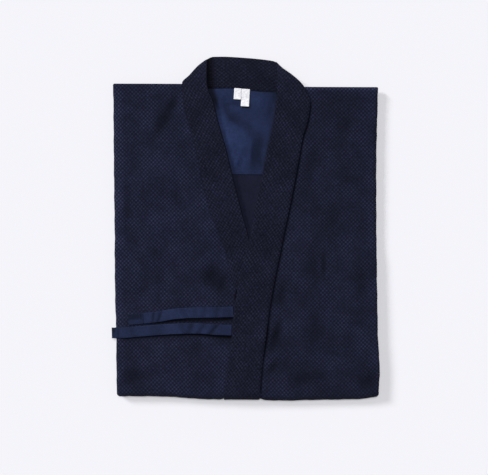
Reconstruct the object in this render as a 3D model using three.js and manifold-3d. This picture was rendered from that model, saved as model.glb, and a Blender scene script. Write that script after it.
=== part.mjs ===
// A kendo jacket, folded to a flat bundle. It lies on its back, front up, its collar beyond the shoulders.
// Millimetres. X runs across the bundle, +Y towards the collar, +Z up from the surface that it lies on.
// Right and left are the wearer's, so right_front is on the -X side.
// Each piece of cloth is a wall between an outer and an inner grid of points. The rows of a grid run from the
// shoulder fold, down the front, round the bottom fold and back under the bundle to the turned-up hem.
import * as THREE from "three";
import { mergeVertices } from "three/addons/utils/BufferGeometryUtils.js";
import Module from "manifold-3d";

// Driving dimensions: the thickness of each cloth, and the free space where two pieces are sewn or lie close.
const JACKET_CLOTH = 1.8;
const COLLAR_BAND = 3.6;
const NECK_BAND = 3.1;
const LINING_CLOTH = 1.0;
const LINING_SEAT = 0.6;
const TIE_TAPE = 1.3;
const TIE_WIDTH = 18.5;
const LABEL_TAPE = 1.0;
const SEAM_GAP = 0.3;
// The neck dips below the fronts, because only the back lies there. The slope starts inside the collar.
const NECK_DIP = 3.2;
const NECK_SLOPE = 28;
const NECK_INSIDE = 8;
// The dip ends at the neck's point, and is shallower along the shoulders.
const POINT_Y = -45;
const POINT_RUN = 30;
const SHOULDER_DIP_SHARE = 0.4;
const SHOULDER_DIP_Y = 212;
const SHOULDER_DIP_RUN = 30;
// The air between the fronts and the layers under them, away from the folded edges.
const LOOSE_AIR = 3.3;
const HIDDEN_FLOOR = 0.9;
const HIDDEN_LEAST = 1;
const SHOULDER_Y = 253;
const BOTTOM_Y = -299;

// The bundle from shoulder to bottom fold: the fronts' height, and the height that their sides wrap round to.
const BUNDLE = [
  { y: 248, top: 16, under: 11 },
  { y: 236, top: 16.3, under: 5 },
  { y: 218, top: 16.6, under: 1.2 },
  { y: 150, top: 17, under: 1.2 },
  { y: 50, top: 16.6, under: 1.2 },
  { y: -25, top: 16.6, under: 1.2 },
  { y: -46, top: 17, under: 10 },
  { y: -125, top: 18.5, under: 10 },
  { y: -190, top: 19.5, under: 10 },
  { y: -250, top: 20, under: 10 },
  { y: -289, top: 20, under: 10 },
];
// The turned-up hem lies under the lower half, and ends in a plain edge.
const HEM_EDGE_Y = -50;

// Outline of the folded shoulders and of the bottom fold, seen from above.
const SHOULDER_EDGE = [
  { x: -231, y: 253 },
  { x: -112, y: 252.6 },
  { x: 102, y: 247.4 },
  { x: 231, y: 246.8 },
];
const BOTTOM_EDGE = [
  { x: -226, y: -292.8 },
  { x: -150, y: -293 },
  { x: -119, y: -294.4 },
  { x: -87, y: -297 },
  { x: -42, y: -297.9 },
  { x: 24, y: -297.8 },
  { x: 70, y: -300 },
  { x: 114, y: -299 },
  { x: 200, y: -297.3 },
  { x: 231, y: -293 },
];
// Sides of the bundle, and the line under the collar band where each front is sewn into it.
const RIGHT_FRONT = [
  { y: 248, side: -231.5, seam: -90 },
  { y: 218, side: -231.3, seam: -84 },
  { y: 150, side: -230.8, seam: -65 },
  { y: 100, side: -230.4, seam: -51 },
  { y: 50, side: -229.9, seam: -41 },
  { y: 15, side: -229.4, seam: -30 },
  { y: -20, side: -229, seam: -16 },
  { y: -46, side: -228.7, seam: 2 },
  { y: -90, side: -228.2, seam: 19.6 },
  { y: -125, side: -227.7, seam: 12 },
  { y: -190, side: -225.8, seam: 4.6 },
  { y: -250, side: -225.4, seam: -3.2 },
  { y: -289, side: -224.6, seam: -7.2 },
];
const LEFT_FRONT = [
  { y: 248, side: 230.6, seam: 80 },
  { y: 205, side: 229.9, seam: 83 },
  { y: 160, side: 228.6, seam: 74 },
  { y: 126, side: 228.1, seam: 66 },
  { y: 92, side: 228, seam: 60 },
  { y: 50, side: 228.1, seam: 51 },
  { y: -8, side: 228.2, seam: 41 },
  { y: -46, side: 228.3, seam: 35 },
  { y: -90, side: 228.6, seam: 20 },
  { y: -125, side: 229.2, seam: 12.4 },
  { y: -190, side: 230.2, seam: 5 },
  { y: -250, side: 233.3, seam: -2.8 },
  { y: -289, side: 231.8, seam: -6.8 },
];
// Collar band: its folded edge at the neck, its sewn edge at the front, and the share of its thickness.
// Round the neck the folded edge stands off the cloth under it, by the lift.
const COLLAR_RIGHT = [
  { foldX: -66.9, foldY: 295.5, sewnX: -71.5, sewnY: 294.3, thick: 0.8, lift: 2.4 },
  { foldX: -67.4, foldY: 284.6, sewnX: -82.8, sewnY: 284.6, thick: 0.9, lift: 3.4 },
  { foldX: -67.3, foldY: 268.8, sewnX: -97.7, sewnY: 267.9, thick: 1, lift: 4 },
  { foldX: -66, foldY: 246, sewnX: -111.1, sewnY: 252.2, thick: 1, lift: 4 },
  { foldX: -57.4, foldY: 223.3, sewnX: -107.8, sewnY: 218, thick: 1, lift: 3 },
  { foldX: -45.2, foldY: 177.8, sewnX: -96.8, sewnY: 176, thick: 1, lift: 1.6 },
  { foldX: -33.8, foldY: 137.5, sewnX: -86.3, sewnY: 135.8, thick: 1, lift: 0.8 },
  { foldX: -23.3, foldY: 95.5, sewnX: -77.4, sewnY: 93.8, thick: 1, lift: 0.4 },
  { foldX: -15.9, foldY: 64, sewnX: -70, sewnY: 60.5, thick: 1, lift: 0 },
  { foldX: -6.7, foldY: 29, sewnX: -60, sewnY: 25.5, thick: 0.95, lift: 0 },
  { foldX: 5.1, foldY: -14.7, sewnX: -43.5, sewnY: -13, thick: 0.75, lift: 0 },
  { foldX: 10.8, foldY: -37.5, sewnX: -34, sewnY: -46, thick: 0.6, lift: 0 },
  { foldX: 14, foldY: -66, sewnX: -24, sewnY: -84, thick: 0.55, lift: 0 },
  { foldX: 15, foldY: -98, sewnX: -14, sewnY: -112, thick: 0.4, lift: 0 },
];
// The left stretch lies on top, and lifts where it crosses the other.
const COLLAR_LEFT = [
  { foldX: 52, foldY: 291.4, sewnX: 55.6, sewnY: 288.8, thick: 0.8, lift: 1.6 },
  { foldX: 53.9, foldY: 281.1, sewnX: 63.9, sewnY: 280.2, thick: 0.9, lift: 2.4 },
  { foldX: 54.9, foldY: 265.3, sewnX: 81.7, sewnY: 267.1, thick: 1, lift: 3 },
  { foldX: 54.6, foldY: 246, sewnX: 101.2, sewnY: 247.3, thick: 1, lift: 3 },
  { foldX: 52.8, foldY: 225, sewnX: 112, sewnY: 219.8, thick: 1, lift: 2 },
  { foldX: 49, foldY: 193.5, sewnX: 109.2, sewnY: 193.5, thick: 1, lift: 1 },
  { foldX: 42.9, foldY: 162, sewnX: 99.4, sewnY: 160.3, thick: 1, lift: 0.3 },
  { foldX: 36.2, foldY: 134, sewnX: 93.8, sewnY: 128.8, thick: 1, lift: 0 },
  { foldX: 29.2, foldY: 93.8, sewnX: 87.3, sewnY: 92.6, thick: 1, lift: 0.3 },
  { foldX: 18.4, foldY: 50, sewnX: 79.1, sewnY: 50, thick: 1, lift: 1 },
  { foldX: 9.1, foldY: -6, sewnX: 66.8, sewnY: -7.7, thick: 1, lift: 2.9 },
  { foldX: -1.4, foldY: -44.5, sewnX: 59.5, sewnY: -44.5, thick: 1, lift: 3 },
  { foldX: -11.2, foldY: -91.7, sewnX: 50.6, sewnY: -88.2, thick: 1, lift: 2.6 },
  { foldX: -20.5, foldY: -140.7, sewnX: 41.3, sewnY: -140.7, thick: 1, lift: 1.4 },
  { foldX: -24.9, foldY: -189.7, sewnX: 34.8, sewnY: -189.7, thick: 1, lift: 0.4 },
  { foldX: -30, foldY: -231.7, sewnX: 29.2, sewnY: -232.8, thick: 1, lift: 0 },
  { foldX: -35.7, foldY: -272, sewnX: 25.6, sewnY: -272, thick: 0.9, lift: 0 },
];
// Where it turns round the bottom fold it is pressed thinner, and ends out of sight.
const COLLAR_ROUND_FOLD = [
  { turn: 0, foldX: -37.4, sewnX: 24.8, thick: 0.75 },
  { turn: 30, foldX: -37.8, sewnX: 24.5, thick: 0.65 },
  { turn: 60, foldX: -38, sewnX: 24.3, thick: 0.6 },
  { turn: 90, foldX: -38.2, sewnX: 24.2, thick: 0.55 },
  { turn: 115, foldX: -38.2, sewnX: 24.2, thick: 0.5 },
];
// Behind the neck: the top fold, and the seam along the lining. Both ends go down under the stretches.
const COLLAR_BACK = [
  { topX: -69.5, topY: 293.4, seamX: -69, seamY: 247, dip: 2.6 },
  { topX: -66.4, topY: 295.4, seamX: -65.4, seamY: 247, dip: 2.1 },
  { topX: -57, topY: 299.4, seamX: -55, seamY: 246.7, dip: 0 },
  { topX: -38, topY: 300, seamX: -38, seamY: 246, dip: 0 },
  { topX: -10, topY: 298.6, seamX: -10, seamY: 245, dip: 0 },
  { topX: 16, topY: 296.4, seamX: 14, seamY: 242, dip: 0 },
  { topX: 36, topY: 294, seamX: 34, seamY: 240.8, dip: 0 },
  { topX: 50.9, topY: 291.4, seamX: 53.6, seamY: 240, dip: 1 },
  { topX: 54.5, topY: 290, seamX: 57, seamY: 240, dip: 1.6 },
];
const CORNER_DIP_Y = 249;
const CORNER_DIP_RUN = 14;
// The lining's top edge follows that seam. Its lower edge is the hem of the yoke.
const LINING_ROWS = [
  { leftX: -64.8, leftY: 246.3, rightX: 53.2, rightY: 239.4 },
  { leftX: -58.3, leftY: 221, rightX: 53.8, rightY: 219 },
  { leftX: -54, leftY: 190, rightX: 52.5, rightY: 188 },
  { leftX: -44.5, leftY: 158, rightX: 45.5, rightY: 157 },
  { leftX: -36, leftY: 127, rightX: 38.5, rightY: 126 },
  { leftX: -28.5, leftY: 95, rightX: 33, rightY: 94 },
];
// Ties: the middle line from the collar band outwards, and how far the tape stands off the front.
const TIE_UPPER = [
  { x: -22.2, y: -144.6, lift: 1.4 },
  { x: -50, y: -145.4, lift: 2.2 },
  { x: -77, y: -145.8, lift: 2.4 },
  { x: -103, y: -146.6, lift: 2 },
  { x: -126, y: -148.6, lift: 1.4 },
  { x: -151, y: -153, lift: 0.8 },
  { x: -178, y: -156, lift: 0.3 },
  { x: -204, y: -158.3, lift: 0 },
];
const TIE_LOWER = [
  { x: -25, y: -176.4, lift: 1.2 },
  { x: -50, y: -175.6, lift: 1.8 },
  { x: -87, y: -173.2, lift: 1.8 },
  { x: -119, y: -174, lift: 1.5 },
  { x: -150, y: -175.8, lift: 1 },
  { x: -183, y: -178.4, lift: 0.7 },
  { x: -215, y: -181, lift: 0.5 },
  { x: -232.8, y: -181.4, lift: -1 },
];
const TIE_SEAT = SEAM_GAP + 0.25;
// A tie is a little thicker along its middle, where it is folded.
const TIE_CROWN = 0.2;
// Labels: the top left corner, the width and the length. Both lean a little clockwise.
const LABEL_LEAN = -3.5;
const LABEL_CURL = 0.15;
const LABELS = [
  { name: "label_wide", x: -20, y: 244, width: 12.6, length: 18.4 },
  { name: "label_long", x: -7, y: 243.2, width: 14.2, length: 29.4 },
];
// Soft ridges of the fronts: the middle, the direction, and the half length, half width and height.
const RIDGES = [
  { x: -140, y: 188, angle: 62, length: 60, width: 22, height: 2 },
  { x: -205, y: 120, angle: 80, length: 80, width: 20, height: 1 },
  { x: -88, y: -62, angle: 20, length: 34, width: 22, height: 1.6 },
  { x: -170, y: -50, angle: 75, length: 80, width: 26, height: 1.2 },
  { x: -100, y: -235, angle: 6, length: 90, width: 24, height: 1.3 },
  { x: 140, y: -70, angle: 86, length: 70, width: 22, height: 1.6 },
  { x: 185, y: 120, angle: 95, length: 90, width: 26, height: 1 },
  { x: 95, y: -225, angle: 50, length: 50, width: 22, height: 1.5 },
  { x: 180, y: -215, angle: 100, length: 55, width: 24, height: 1.1 },
];
// Folded sleeves under the upper half, one on the other, and the free corners of each.
const SLEEVES = [
  { left: -216, right: 186, near: 8, far: 247.5, low: 0, high: 3.6 },
  { left: -190, right: 214, near: 13, far: 245.5, low: 3, high: 6.6 },
];
const SLEEVE_CORNER = 5;
// A sleeve's edge is round but for this strip in its middle.
const SLEEVE_EDGE_FLAT = 0.01;
// The back is cut clear of the seams of the fronts, and slants a little towards the left shoulder.
const BACK_SEAM = SEAM_GAP + 1.2;
const BACK_SLANT = 4;
const BACK_SLANT_Y = 200;
const BACK_SLANT_RUN = 46;

// Steps of the grids.
const BACK_ROWS = [246, 236, 218, 184, 150, 116, 84, 50, 20, -8, -30, -44];
const TIE_COLUMNS = [-0.5, -0.25, 0, 0.25, 0.5];
const LONGEST_STEP = 34;
const FRONT_COLUMNS = 9;
const SIDE_WRAP = [0, 35, 70, 105, 150];
const SHOULDER_TURNS = [-150, -100, -50];
const BOTTOM_TURNS = [30, 60, 90, 120, 150, 180];
const HIDDEN_COLUMNS = 8;
const LAYER_COLUMNS = 14;

const radians = (degrees) => (degrees * Math.PI) / 180;
const mix = (a, b, share) => a + (b - a) * share;
const clamp = (value) => Math.min(1, Math.max(0, value));
const smooth = (value) => clamp(value) ** 2 * (3 - 2 * clamp(value));

// One column of a table at a place between its rows. Outside the table it keeps its end value.
function between(table, key, at, column) {
  const rows = [...table].sort((a, b) => a[key] - b[key]);
  const next = rows.findIndex((row) => row[key] > at);
  if (next === 0) return rows[0][column];
  if (next < 0) return rows.at(-1)[column];
  const [low, high] = [rows[next - 1], rows[next]];
  return mix(low[column], high[column], (at - low[key]) / (high[key] - low[key]));
}

const topAt = (y) => between(BUNDLE, "y", y, "top");

// Height that the soft ridges add to the fronts at a point.
function ridgeAt(x, y) {
  return RIDGES.reduce((sum, ridge) => {
    const [c, s] = [Math.cos(radians(ridge.angle)), Math.sin(radians(ridge.angle))];
    const [dx, dy] = [x - ridge.x, y - ridge.y];
    const along = (dx * c + dy * s) / ridge.length;
    const across = (dy * c - dx * s) / ridge.width;
    return sum + ridge.height * smooth(1 - Math.hypot(along, across));
  }, 0);
}

// Beyond the shoulders nothing carries the collar, and it bends down towards the surface.
const FRONT_BEND = 0.0036;
const NECK_BEND = 0.0048;
const BEND_START_Y = SHOULDER_Y - 4;
const droopAt = (y, bend) => bend * Math.max(0, y - BEND_START_Y) ** 2;

// Height of the back's inside: it dips between the two stretches of the collar and under their edges.
function groundAt(x, y) {
  const left = between(COLLAR_RIGHT, "foldY", y, "foldX");
  const right = between(COLLAR_LEFT, "foldY", y, "foldX");
  const outside = Math.abs(x - (left + right) / 2) - (right - left) / 2;
  const across = smooth(1 - (outside + NECK_INSIDE) / NECK_SLOPE);
  const atPoint = clamp((y - POINT_Y) / POINT_RUN);
  const atShoulder = mix(1, SHOULDER_DIP_SHARE, smooth((y - SHOULDER_DIP_Y) / SHOULDER_DIP_RUN));
  return topAt(y) - NECK_DIP * across * atPoint * atShoulder;
}

// A row of the bundle at a nominal y: how far it has turned round a fold, and the axis of that turn.
function rowAt(y, turn) {
  const top = topAt(y);
  const under = between(BUNDLE, "y", y, "under");
  return { y, turn, under, reach: top - under };
}

// The axis follows the curved outlines: a row near a fold takes all of that curve, and others a share.
function axisY(row, x) {
  const share = clamp((row.y - BOTTOM_Y) / (SHOULDER_Y - BOTTOM_Y));
  const shoulder = between(SHOULDER_EDGE, "x", x, "y") - SHOULDER_Y;
  const bottom = between(BOTTOM_EDGE, "x", x, "y") - BOTTOM_Y;
  return row.y + mix(bottom, shoulder, share);
}

// A point on a row, x across, and out from the face of the fronts.
function pointOn(row, x, out) {
  const reach = row.reach + out;
  const turn = radians(row.turn);
  const axis = axisY(row, x);
  return [x, axis - reach * Math.sin(turn), row.under + reach * Math.cos(turn)];
}

// All rows: round the shoulder fold, down the front, round the bottom fold, and back under to the hem.
function bundleRows() {
  const ys = [];
  BUNDLE.slice(1).forEach((row, i) => {
    const from = BUNDLE[i].y;
    const steps = Math.ceil((from - row.y) / LONGEST_STEP);
    for (let k = 0; k < steps; k += 1) ys.push(mix(from, row.y, k / steps));
  });
  const [first, last] = [BUNDLE[0].y, BUNDLE.at(-1).y];
  const hem = [mix(last, HEM_EDGE_Y, 1 / 3), mix(last, HEM_EDGE_Y, 2 / 3), HEM_EDGE_Y];
  return [
    ...SHOULDER_TURNS.map((turn) => rowAt(first, turn)),
    ...ys.map((y) => rowAt(y, 0)),
    rowAt(last, 0),
    ...BOTTOM_TURNS.map((turn) => rowAt(last, turn)),
    ...hem.map((y) => ({ ...rowAt(last, 180), y })),
  ];
}

// The side of a row wraps round a half circle as high as the row's reach, at a depth below the outer face.
function sideWrap(row, side, depth) {
  const radius = row.reach / 2;
  const outwards = Math.sign(side);
  return SIDE_WRAP.map((degrees) => {
    const angle = radians(degrees);
    const x = side - outwards * (radius - (radius - depth) * Math.sin(angle));
    return pointOn(row, x, (radius - depth) * Math.cos(angle) - radius);
  });
}

// Closed wall between two grids of points, with its faces turned outwards.
function wall(outer, inner) {
  const [rows, columns] = [outer.length, outer[0].length];
  const positions = [...outer.flat(), ...inner.flat()].flat();
  const at = (layer, i, j) => layer * rows * columns + i * columns + j;
  const faces = [];
  const quad = (a, b, c, d) => faces.push(a, b, c, a, c, d);
  for (let i = 0; i + 1 < rows; i += 1) {
    for (let j = 0; j + 1 < columns; j += 1) {
      quad(at(0, i, j), at(0, i + 1, j), at(0, i + 1, j + 1), at(0, i, j + 1));
      quad(at(1, i, j), at(1, i, j + 1), at(1, i + 1, j + 1), at(1, i + 1, j));
    }
    const end = columns - 1;
    quad(at(0, i, 0), at(1, i, 0), at(1, i + 1, 0), at(0, i + 1, 0));
    quad(at(0, i, end), at(0, i + 1, end), at(1, i + 1, end), at(1, i, end));
  }
  for (let j = 0; j + 1 < columns; j += 1) {
    const end = rows - 1;
    quad(at(0, 0, j), at(0, 0, j + 1), at(1, 0, j + 1), at(1, 0, j));
    quad(at(0, end, j), at(1, end, j), at(1, end, j + 1), at(0, end, j + 1));
  }
  const corner = (k) => new THREE.Vector3().fromArray(positions, 3 * faces[k]);
  let volume = 0;
  for (let k = 0; k < faces.length; k += 3) {
    volume += corner(k).dot(corner(k + 1).cross(corner(k + 2)));
  }
  if (volume < 0) {
    for (let k = 0; k < faces.length; k += 3) {
      [faces[k + 1], faces[k + 2]] = [faces[k + 2], faces[k + 1]];
    }
  }
  const geometry = new THREE.BufferGeometry();
  geometry.setAttribute("position", new THREE.Float32BufferAttribute(positions, 3));
  geometry.setIndex(faces);
  return geometry;
}

// A front: flat from its seam towards the side, with soft ridges, then round the side.
function frontGrid(table, depth) {
  return bundleRows().map((row) => {
    const side = between(table, "y", row.y, "side");
    const turnedUp = row.turn === 180 && row.y > BUNDLE.at(-1).y;
    const seam = between(table, "y", turnedUp ? BUNDLE.at(-1).y : row.y, "seam");
    const flatEnd = side - (Math.sign(side) * row.reach) / 2;
    const flat = [];
    for (let j = 0; j < FRONT_COLUMNS; j += 1) {
      const x = mix(seam, flatEnd, j / FRONT_COLUMNS);
      const ridge = row.turn === 0 ? ridgeAt(x, row.y) : 0;
      flat.push(pointOn(row, x, ridge - depth));
    }
    return [...flat, ...sideWrap(row, side, depth)];
  });
}

const front = (table) => wall(frontGrid(table, 0), frontGrid(table, JACKET_CLOTH));

// The layers inside the fronts, from one side round to the other, and along the plane that the sides reach.
function innerLayers() {
  const depth = JACKET_CLOTH + SEAM_GAP;
  const upper = [];
  const lower = [];
  for (const row of bundleRows()) {
    const sides = [RIGHT_FRONT, LEFT_FRONT].map((table) => between(table, "y", row.y, "side"));
    const wraps = sides.map((side) => sideWrap(row, side, depth));
    const margin = row.reach / 2;
    const [from, to] = [sides[0] + margin, sides[1] - margin];
    const middle = [];
    for (let j = 1; j < HIDDEN_COLUMNS; j += 1) {
      const x = mix(from, to, j / HIDDEN_COLUMNS);
      const air = Math.min(LOOSE_AIR, row.reach - depth - HIDDEN_FLOOR - HIDDEN_LEAST);
      middle.push(pointOn(row, x, -depth - Math.max(0, air)));
    }
    const section = [...wraps[0].reverse(), ...middle, ...wraps[1]];
    upper.push(section);
    const last = section.length - 1;
    lower.push(section.map((_, j) => pointOn(row, mix(from, to, j / last), HIDDEN_FLOOR - row.reach)));
  }
  return wall(upper, lower);
}

// A folded sleeve: a thin slab with rounded edges all round.
function sleeve({ left, right, near, far, low, high }) {
  const edge = (high - low) / 2;
  const [a, b] = [left + edge, right - edge];
  const [c, d] = [near + edge, far - edge];
  const r = SLEEVE_CORNER;
  const outline = new THREE.Shape();
  outline.moveTo(a + r, c);
  outline.lineTo(b - r, c);
  outline.absarc(b - r, c + r, r, -Math.PI / 2, 0);
  outline.lineTo(b, d - r);
  outline.absarc(b - r, d - r, r, 0, Math.PI / 2);
  outline.lineTo(a + r, d);
  outline.absarc(a + r, d - r, r, Math.PI / 2, Math.PI);
  outline.lineTo(a, c + r);
  outline.absarc(a + r, c + r, r, Math.PI, 1.5 * Math.PI);
  const geometry = new THREE.ExtrudeGeometry(outline, {
    depth: SLEEVE_EDGE_FLAT,
    bevelThickness: edge - SLEEVE_EDGE_FLAT / 2,
    bevelSize: edge,
    bevelSegments: 3,
    curveSegments: 3,
  });
  return geometry.translate(0, 0, low + edge - SLEEVE_EDGE_FLAT / 2);
}

const manifold = await Module();
manifold.setup();

function toSolid(geometry) {
  const bare = geometry.clone();
  bare.deleteAttribute("normal");
  bare.deleteAttribute("uv");
  const merged = mergeVertices(bare, 1e-3);
  const mesh = new manifold.Mesh({
    numProp: 3,
    vertProperties: merged.attributes.position.array,
    triVerts: new Uint32Array(merged.index.array),
  });
  return new manifold.Manifold(mesh);
}

function toGeometry(solid) {
  const mesh = solid.getMesh();
  const geometry = new THREE.BufferGeometry();
  geometry.setAttribute("position", new THREE.BufferAttribute(mesh.vertProperties, 3));
  geometry.setIndex(new THREE.BufferAttribute(mesh.triVerts, 1));
  return geometry;
}

const foldedLayers = () =>
  toGeometry(SLEEVES.reduce((solid, size) => solid.add(toSolid(sleeve(size))), toSolid(innerLayers())));

// A flat layer between a left and a right edge, at two heights above the back's inside.
function layer(edges, low, high) {
  const grid = (rise) =>
    edges.map((edge) => {
      const points = [];
      for (let j = 0; j <= LAYER_COLUMNS; j += 1) {
        const x = mix(edge.leftX, edge.rightX, j / LAYER_COLUMNS);
        const y = mix(edge.leftY, edge.rightY, j / LAYER_COLUMNS);
        points.push([x, y, groundAt(x, y) + rise]);
      }
      return points;
    });
  return wall(grid(high), grid(low));
}

// The back lies level with the fronts, from seam to seam, down to where they meet under the collar.
function backBody() {
  const edges = BACK_ROWS.map((y) => ({
    leftX: between(RIGHT_FRONT, "y", y, "seam") + BACK_SEAM,
    leftY: y,
    rightX: between(LEFT_FRONT, "y", y, "seam") - BACK_SEAM,
    rightY: y - BACK_SLANT * clamp((y - BACK_SLANT_Y) / BACK_SLANT_RUN),
  }));
  return layer(edges, -JACKET_CLOTH, 0);
}

// Across the collar band, from its folded edge to its sewn one: shares of the width, top and underside.
const BAND_SECTION = [
  { across: 0, top: 0.7, under: 0.25 },
  { across: 0.03, top: 0.95, under: 0.04 },
  { across: 0.12, top: 1, under: 0 },
  { across: 0.5, top: 1, under: 0 },
  { across: 0.86, top: 0.97, under: 0 },
  { across: 0.97, top: 0.78, under: 0 },
  { across: 1, top: 0.5, under: 0.05 },
];

// A stretch of the collar down a front. The rows of turns carry it round the bottom fold.
// Its lift falls to nothing towards the sewn edge.
const LIFT_REACH = 1.2;

function collarStretch(stations, turns) {
  const grid = (face) => [
    ...stations.map((station) =>
      BAND_SECTION.map((point) => {
        const x = mix(station.foldX, station.sewnX, point.across);
        const y = mix(station.foldY, station.sewnY, point.across);
        const lift = station.lift * smooth(LIFT_REACH - point.across);
        const rise = SEAM_GAP + lift + COLLAR_BAND * station.thick * point[face];
        return [x, y, topAt(y) + rise - droopAt(y, FRONT_BEND)];
      }),
    ),
    ...turns.map((station) =>
      BAND_SECTION.map((point) => {
        const x = mix(station.foldX, station.sewnX, point.across);
        const rise = SEAM_GAP + COLLAR_BAND * station.thick * point[face];
        return pointOn(rowAt(BUNDLE.at(-1).y, station.turn), x, rise);
      }),
    ),
  ];
  return wall(grid("top"), grid("under"));
}

// Across the collar behind the neck, from its top fold to its seam.
const NECK_SECTION = [
  { down: 0, top: 0.7, under: 0.2 },
  { down: 0.04, top: 0.97, under: 0 },
  { down: 0.2, top: 1, under: 0 },
  { down: 0.45, top: 1, under: 0 },
  { down: 0.7, top: 1, under: 0 },
  { down: 0.88, top: 0.95, under: 0 },
  { down: 1, top: 0.75, under: 0 },
];

function collarBack() {
  const grid = (face) =>
    COLLAR_BACK.map((station) =>
      NECK_SECTION.map((point) => {
        const x = mix(station.topX, station.seamX, point.down);
        const y = mix(station.topY, station.seamY, point.down);
        const corner = station.dip * smooth((y - CORNER_DIP_Y) / CORNER_DIP_RUN);
        const rise = SEAM_GAP + NECK_BAND * point[face] - corner;
        return [x, y, groundAt(x, y) + rise - droopAt(y, NECK_BEND)];
      }),
    );
  return wall(grid("top"), grid("under"));
}

// A tie lies on its front, so its rows take the height of the front below them.
function tie(stations) {
  const grid = (rise) =>
    stations.map((station, i) => {
      const before = stations[Math.max(0, i - 1)];
      const after = stations[Math.min(stations.length - 1, i + 1)];
      const run = Math.hypot(after.x - before.x, after.y - before.y);
      const [nx, ny] = [-(after.y - before.y) / run, (after.x - before.x) / run];
      return TIE_COLUMNS.map((share) => {
        const x = station.x + nx * share * TIE_WIDTH;
        const y = station.y + ny * share * TIE_WIDTH;
        const crown = TIE_CROWN * (1 - (2 * share) ** 2);
        return [x, y, topAt(y) + ridgeAt(x, y) + TIE_SEAT + station.lift + rise + crown];
      });
    });
  return wall(grid(TIE_TAPE), grid(0));
}

function label({ x, y, width, length }) {
  const lean = radians(LABEL_LEAN);
  const [cos, sin] = [Math.cos(lean), Math.sin(lean)];
  const corner = (across, down) => [x + across * cos + down * sin, y + across * sin - down * cos];
  const edges = [0, 0.5, 1].map((share) => {
    const [leftX, leftY] = corner(0, share * length);
    const [rightX, rightY] = corner(width, share * length);
    return { leftX, leftY, rightX, rightY };
  });
  const low = LINING_SEAT + LINING_CLOTH + SEAM_GAP + LABEL_CURL;
  return layer(edges, low, low + LABEL_TAPE);
}

const CLOTHS = {
  jacket: { color: 0x1f2233, roughness: 0.92, metalness: 0 },
  collar: { color: 0x1b1d2b, roughness: 0.94, metalness: 0 },
  lining: { color: 0x2a3350, roughness: 0.7, metalness: 0 },
  tie: { color: 0x252c45, roughness: 0.75, metalness: 0 },
  label: { color: 0xe8e8ec, roughness: 0.6, metalness: 0 },
};

const jacket = new THREE.Group();
jacket.name = "kendo_jacket";

function add(name, cloth, geometry) {
  const mesh = new THREE.Mesh(geometry, new THREE.MeshStandardMaterial(CLOTHS[cloth]));
  mesh.name = name;
  jacket.add(mesh);
}

add("folded_layers", "jacket", foldedLayers());
add("back_body", "jacket", backBody());
add("right_front", "jacket", front(RIGHT_FRONT));
add("left_front", "jacket", front(LEFT_FRONT));
add("collar_back", "collar", collarBack());
add("collar_right", "collar", collarStretch(COLLAR_RIGHT, []));
add("collar_left", "collar", collarStretch(COLLAR_LEFT, COLLAR_ROUND_FOLD));
add("shoulder_lining", "lining", layer(LINING_ROWS, LINING_SEAT, LINING_SEAT + LINING_CLOTH));
add("tie_upper", "tie", tie(TIE_UPPER));
add("tie_lower", "tie", tie(TIE_LOWER));
for (const size of LABELS) add(size.name, "label", label(size));

export default jacket;
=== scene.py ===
import math

import bpy
import numpy as np
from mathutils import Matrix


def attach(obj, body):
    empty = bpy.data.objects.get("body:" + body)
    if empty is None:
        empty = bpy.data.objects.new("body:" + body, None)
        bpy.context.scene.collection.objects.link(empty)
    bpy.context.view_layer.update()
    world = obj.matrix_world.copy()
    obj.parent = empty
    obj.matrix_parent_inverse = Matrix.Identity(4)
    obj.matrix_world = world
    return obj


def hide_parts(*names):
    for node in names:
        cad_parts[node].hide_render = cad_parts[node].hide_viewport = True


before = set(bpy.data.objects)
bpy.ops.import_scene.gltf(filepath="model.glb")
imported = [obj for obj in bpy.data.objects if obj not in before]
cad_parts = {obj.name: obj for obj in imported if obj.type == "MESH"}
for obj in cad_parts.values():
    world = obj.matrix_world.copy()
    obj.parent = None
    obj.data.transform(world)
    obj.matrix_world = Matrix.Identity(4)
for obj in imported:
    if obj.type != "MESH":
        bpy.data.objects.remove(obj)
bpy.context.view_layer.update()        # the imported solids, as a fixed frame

# The viewpoint. The bundle lies on a pale surface and is seen from straight above, collar at the top.
# A long lens keeps its sides upright in the view. Sizes below are millimetres, as a tailor would take them.
MM = 0.001
PHOTO_WIDTH_PX = 488
MM_PER_PX = 1.75
VIEW_CENTRE = (-3.15, -15.6)
VIEW_LEVEL = 6
LENS = 85
SENSOR = 36

camera_data = bpy.data.cameras.new("above_the_bundle")
camera_data.lens = LENS
camera_data.sensor_width = SENSOR
camera = bpy.data.objects.new("above_the_bundle", camera_data)
view_distance = PHOTO_WIDTH_PX * MM_PER_PX * LENS / SENSOR
camera.location = np.array([*VIEW_CENTRE, VIEW_LEVEL + view_distance]) * MM
bpy.context.scene.collection.objects.link(camera)
bpy.context.scene.camera = camera

# The hidden layers: the folded sleeves, the rest of the back and the parts of the fronts that are turned in.
# They are loose layers of the jacket cloth, pressed together, and show only as folded edges low on the sides.
# The bundle's heights and outlines are set here, because every other piece lies on them.
JACKET_CLOTH = 1.8
SEAM_GAP = 0.3
LOOSE_AIR = 3.3
HIDDEN_FLOOR = 0.9
SHOULDER_Y = 253
BOTTOM_Y = -299
HEM_EDGE_Y = -50
SHOULDER_TURN = -150
SIDE_TURN = 150
HIDDEN_STEP = 8
HIDDEN_TURN = 15
HIDDEN_COLUMNS = 34
LEAST_LAYERS = 1


def table(columns, *rows):
    """Rows of sizes under named columns."""
    return dict(zip(columns.split(), np.array(rows, float).T))


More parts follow.
